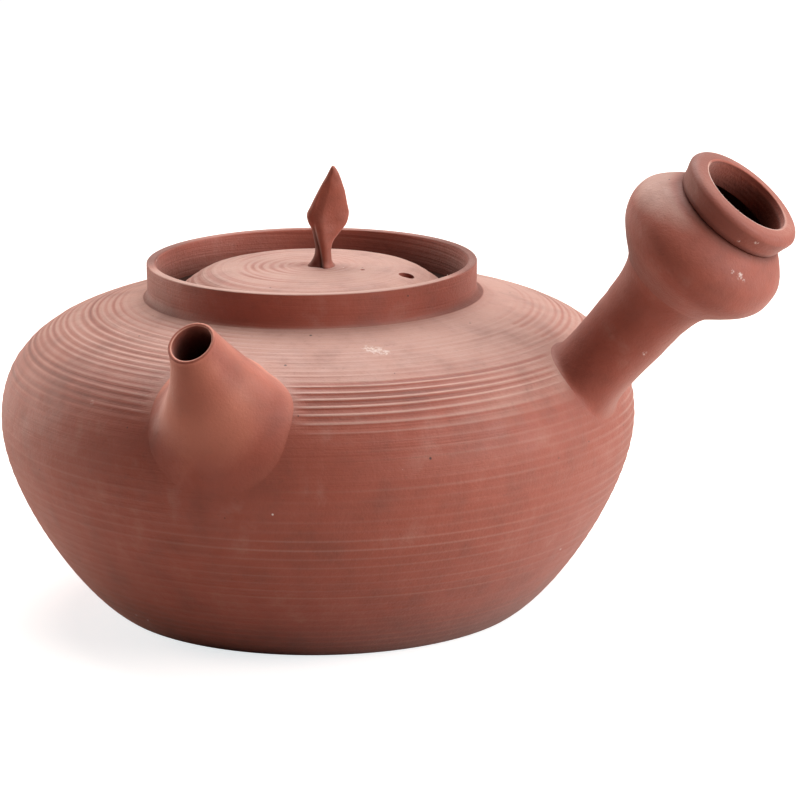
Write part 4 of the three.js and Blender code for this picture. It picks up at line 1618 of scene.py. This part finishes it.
@dataclass(frozen=True)
class Studio:
    """A white room: a pale floor, soft lamps, and the camera where the photograph was taken."""

    azimuth: float = 27
    elevation: float = 14.1
    distance: float = 970.6
    target_height: float = 48.5
    focal_pixels: float = 3706
    image_side: float = 800
    target_pixel: tuple[float, float] = (318.5, 414.7)
    roll: float = 0.7
    sensor: float = 36
    fill: float = 0.03
    gloss: float = 0.20
    floor_half: float = 8.0
    floor_colour: Colour = (0.70, 0.60, 0.555)
    floor_glow: Colour = (0.945, 0.983, 1.0)
    floor_glow_strength: float = 0.77
    lamps: tuple[SoftLight, ...] = (
        SoftLight("top_lamp", 207, 66, 1.0, 1.0, 12.5),
        SoftLight("right_lamp", 101, 20, 1.1, 0.85, 10.6, (0.94, 0.995, 1.0)),
        SoftLight("right_high_lamp", 82, 45, 1.1, 0.9, 2.8),
        SoftLight("left_lamp", -91, 8, 0.55, 0.3, 1.3, (1.0, 0.88, 0.78)),
    )

    def target(self) -> Vector:
        """The point on the kettle's axis that the camera and the lamps are set by."""
        return Vector((0, 0, self.target_height * MM))

    def make_camera(self) -> Piece:
        """Creates the camera and makes it the scene's own.

        Returns:
            The camera.
        """
        away, roll = outward(self.azimuth, self.elevation), math.radians(self.roll)
        right = outward(self.azimuth + 90, 0)
        up = away.cross(right)
        across = right * math.cos(roll) - up * math.sin(roll)
        above = right * math.sin(roll) + up * math.cos(roll)
        axes = Matrix((across, above, away)).transposed()
        x, y = self.target_pixel
        seen = Vector((x - self.image_side / 2, self.image_side / 2 - y, -self.focal_pixels)).normalized()
        axes = axes @ seen.rotation_difference(Vector((0, 0, -1))).to_matrix()
        data = bpy.data.cameras.new("camera")
        data.sensor_fit, data.sensor_width = "HORIZONTAL", self.sensor
        data.lens = self.focal_pixels * self.sensor / self.image_side
        data.clip_start, data.clip_end = 0.05, 20
        camera = put("camera", data)
        camera.matrix_world = Matrix.Translation(self.target() + away * self.distance * MM) @ axes.to_4x4()
        bpy.context.scene.camera = camera
        return camera

    def make_world(self) -> None:
        """Sets a white background that lights the kettle only softly."""
        world = bpy.data.worlds.new("studio")
        bpy.context.scene.world = world
        board = NodeBoard(world)
        path = board.add("LightPath").outputs
        strength = board.ramp(path["Is Glossy Ray"], 0, 1, self.fill, self.gloss)
        plain, white = (board.add("Background", {"Color": WHITE, "Strength": light}).outputs[0]
                        for light in (strength, 1.0))
        seen = board.add("MixShader", {0: path["Is Camera Ray"], 1: plain, 2: white})
        board.add("OutputWorld", {"Surface": seen.outputs[0]})

    def make_floor(self) -> Piece:
        """Makes the pale floor, which shows white and keeps the kettle's soft shadow.

        Returns:
            The floor.
        """
        mesh, half = bpy.data.meshes.new("floor"), self.floor_half
        corners = [(x * half, y * half, 0) for x, y in ((-1, -1), (1, -1), (1, 1), (-1, 1))]
        mesh.from_pydata(corners, [], [(0, 1, 2, 3)])
        floor = put("floor", mesh)
        material = bpy.data.materials.new("pale_floor")
        board = NodeBoard(material)
        seen = board.add("LightPath").outputs["Is Camera Ray"]
        matt = board.add("BsdfDiffuse", {"Color": self.floor_colour})
        strength = board.math("MULTIPLY", seen, self.floor_glow_strength)
        glow = board.add("Emission", {"Color": self.floor_glow, "Strength": strength})
        both = board.add("AddShader", {0: matt.outputs[0], 1: glow.outputs[0]})
        board.add("OutputMaterial", {"Surface": both.outputs[0]})
        mesh.materials.append(material)
        return floor

    def make(self) -> None:
        """Sets up the whole studio."""
        self.make_camera()
        self.make_world()
        self.make_floor()
        for lamp in self.lamps:
            lamp.make(self.target())
        bpy.context.scene.view_settings.view_transform = "Standard"


def clay_finishes() -> dict[Slot, ClayFinish]:
    """The finish of each slot.

    Returns:
        The finishes, with the marks that the photograph shows.
    """
    return {
        Slot.BODY: ClayFinish("body_clay_finish", marks=(
            Mark((35.15, -41.45, 78.45), 2.2), Mark((37.3, -41.3, 78.1), 2.6), Mark((39.4, -41.1, 77.8), 1.8),
            Mark((59.0, -56.6, 56.7), 0.45, False), Mark((20.6, -57.9, 76.3), 0.5, False),
            Mark((19.6, -42.2, 80.4), 0.5, False), Mark((-25.2, -73.3, 65.9), 0.8))),
        Slot.COLLAR: ClayFinish("collar_clay_finish", line_strength=0.8),
        # The spout's paler colour is painted light on its lit side.
        Slot.SPOUT: ClayFinish("spout_clay_finish", pale_clay_and_light=(0.680, 0.230, 0.145), top_light_from=0.70,
                               turning=Turning.WIPED),
        # The handle's deep colour darkens its painted shade.
        Slot.HANDLE: ClayFinish("handle_clay_finish", deep=(0.150, 0.032, 0.019), top_light_from=0.56,
                                turning=Turning.WIPED, marks=(
            Mark((121.3, -13.0, 98.6), 1.2), Mark((120.0, -14.5, 99.8), 0.7),
            Mark((122.0, -12.1, 97.2), 0.6), Mark((120.9, -13.1, 107.2), 0.6),
            Mark((124.9, -11.3, 106.7), 0.8), Mark((94.3, -6.6, 75.3), 0.9))),
        Slot.LID: ClayFinish("lid_clay_finish", top_light_share=0.90),
        Slot.LEAF: ClayFinish("leaf_clay_finish", body=(0.43, 0.100, 0.057), turning=Turning.WIPED),
    }


def main() -> None:
    """Builds the studio and every piece of the kettle, in order."""
    logging.basicConfig(level=logging.INFO, format="%(name)s %(message)s")
    Studio().make()
    dress = {slot: Dressing(Body.LID if slot in (Slot.LID, Slot.LEAF) else Body.KETTLE, slot, finish.make())
             for slot, finish in clay_finishes().items()}
    wall, seat = Wall(), Seat()
    spout, handle, lid = Spout(wall), Handle(wall), Lid(seat)
    Vessel(wall).make(dress[Slot.BODY], spout, handle)
    Collar(wall, seat).make(dress[Slot.COLLAR])
    spout.make(dress[Slot.SPOUT])
    handle.make(dress[Slot.HANDLE])
    lid.make(dress[Slot.LID])
    LeafKnob(lid).make(dress[Slot.LEAF])


if __name__ == "__main__":
    main()
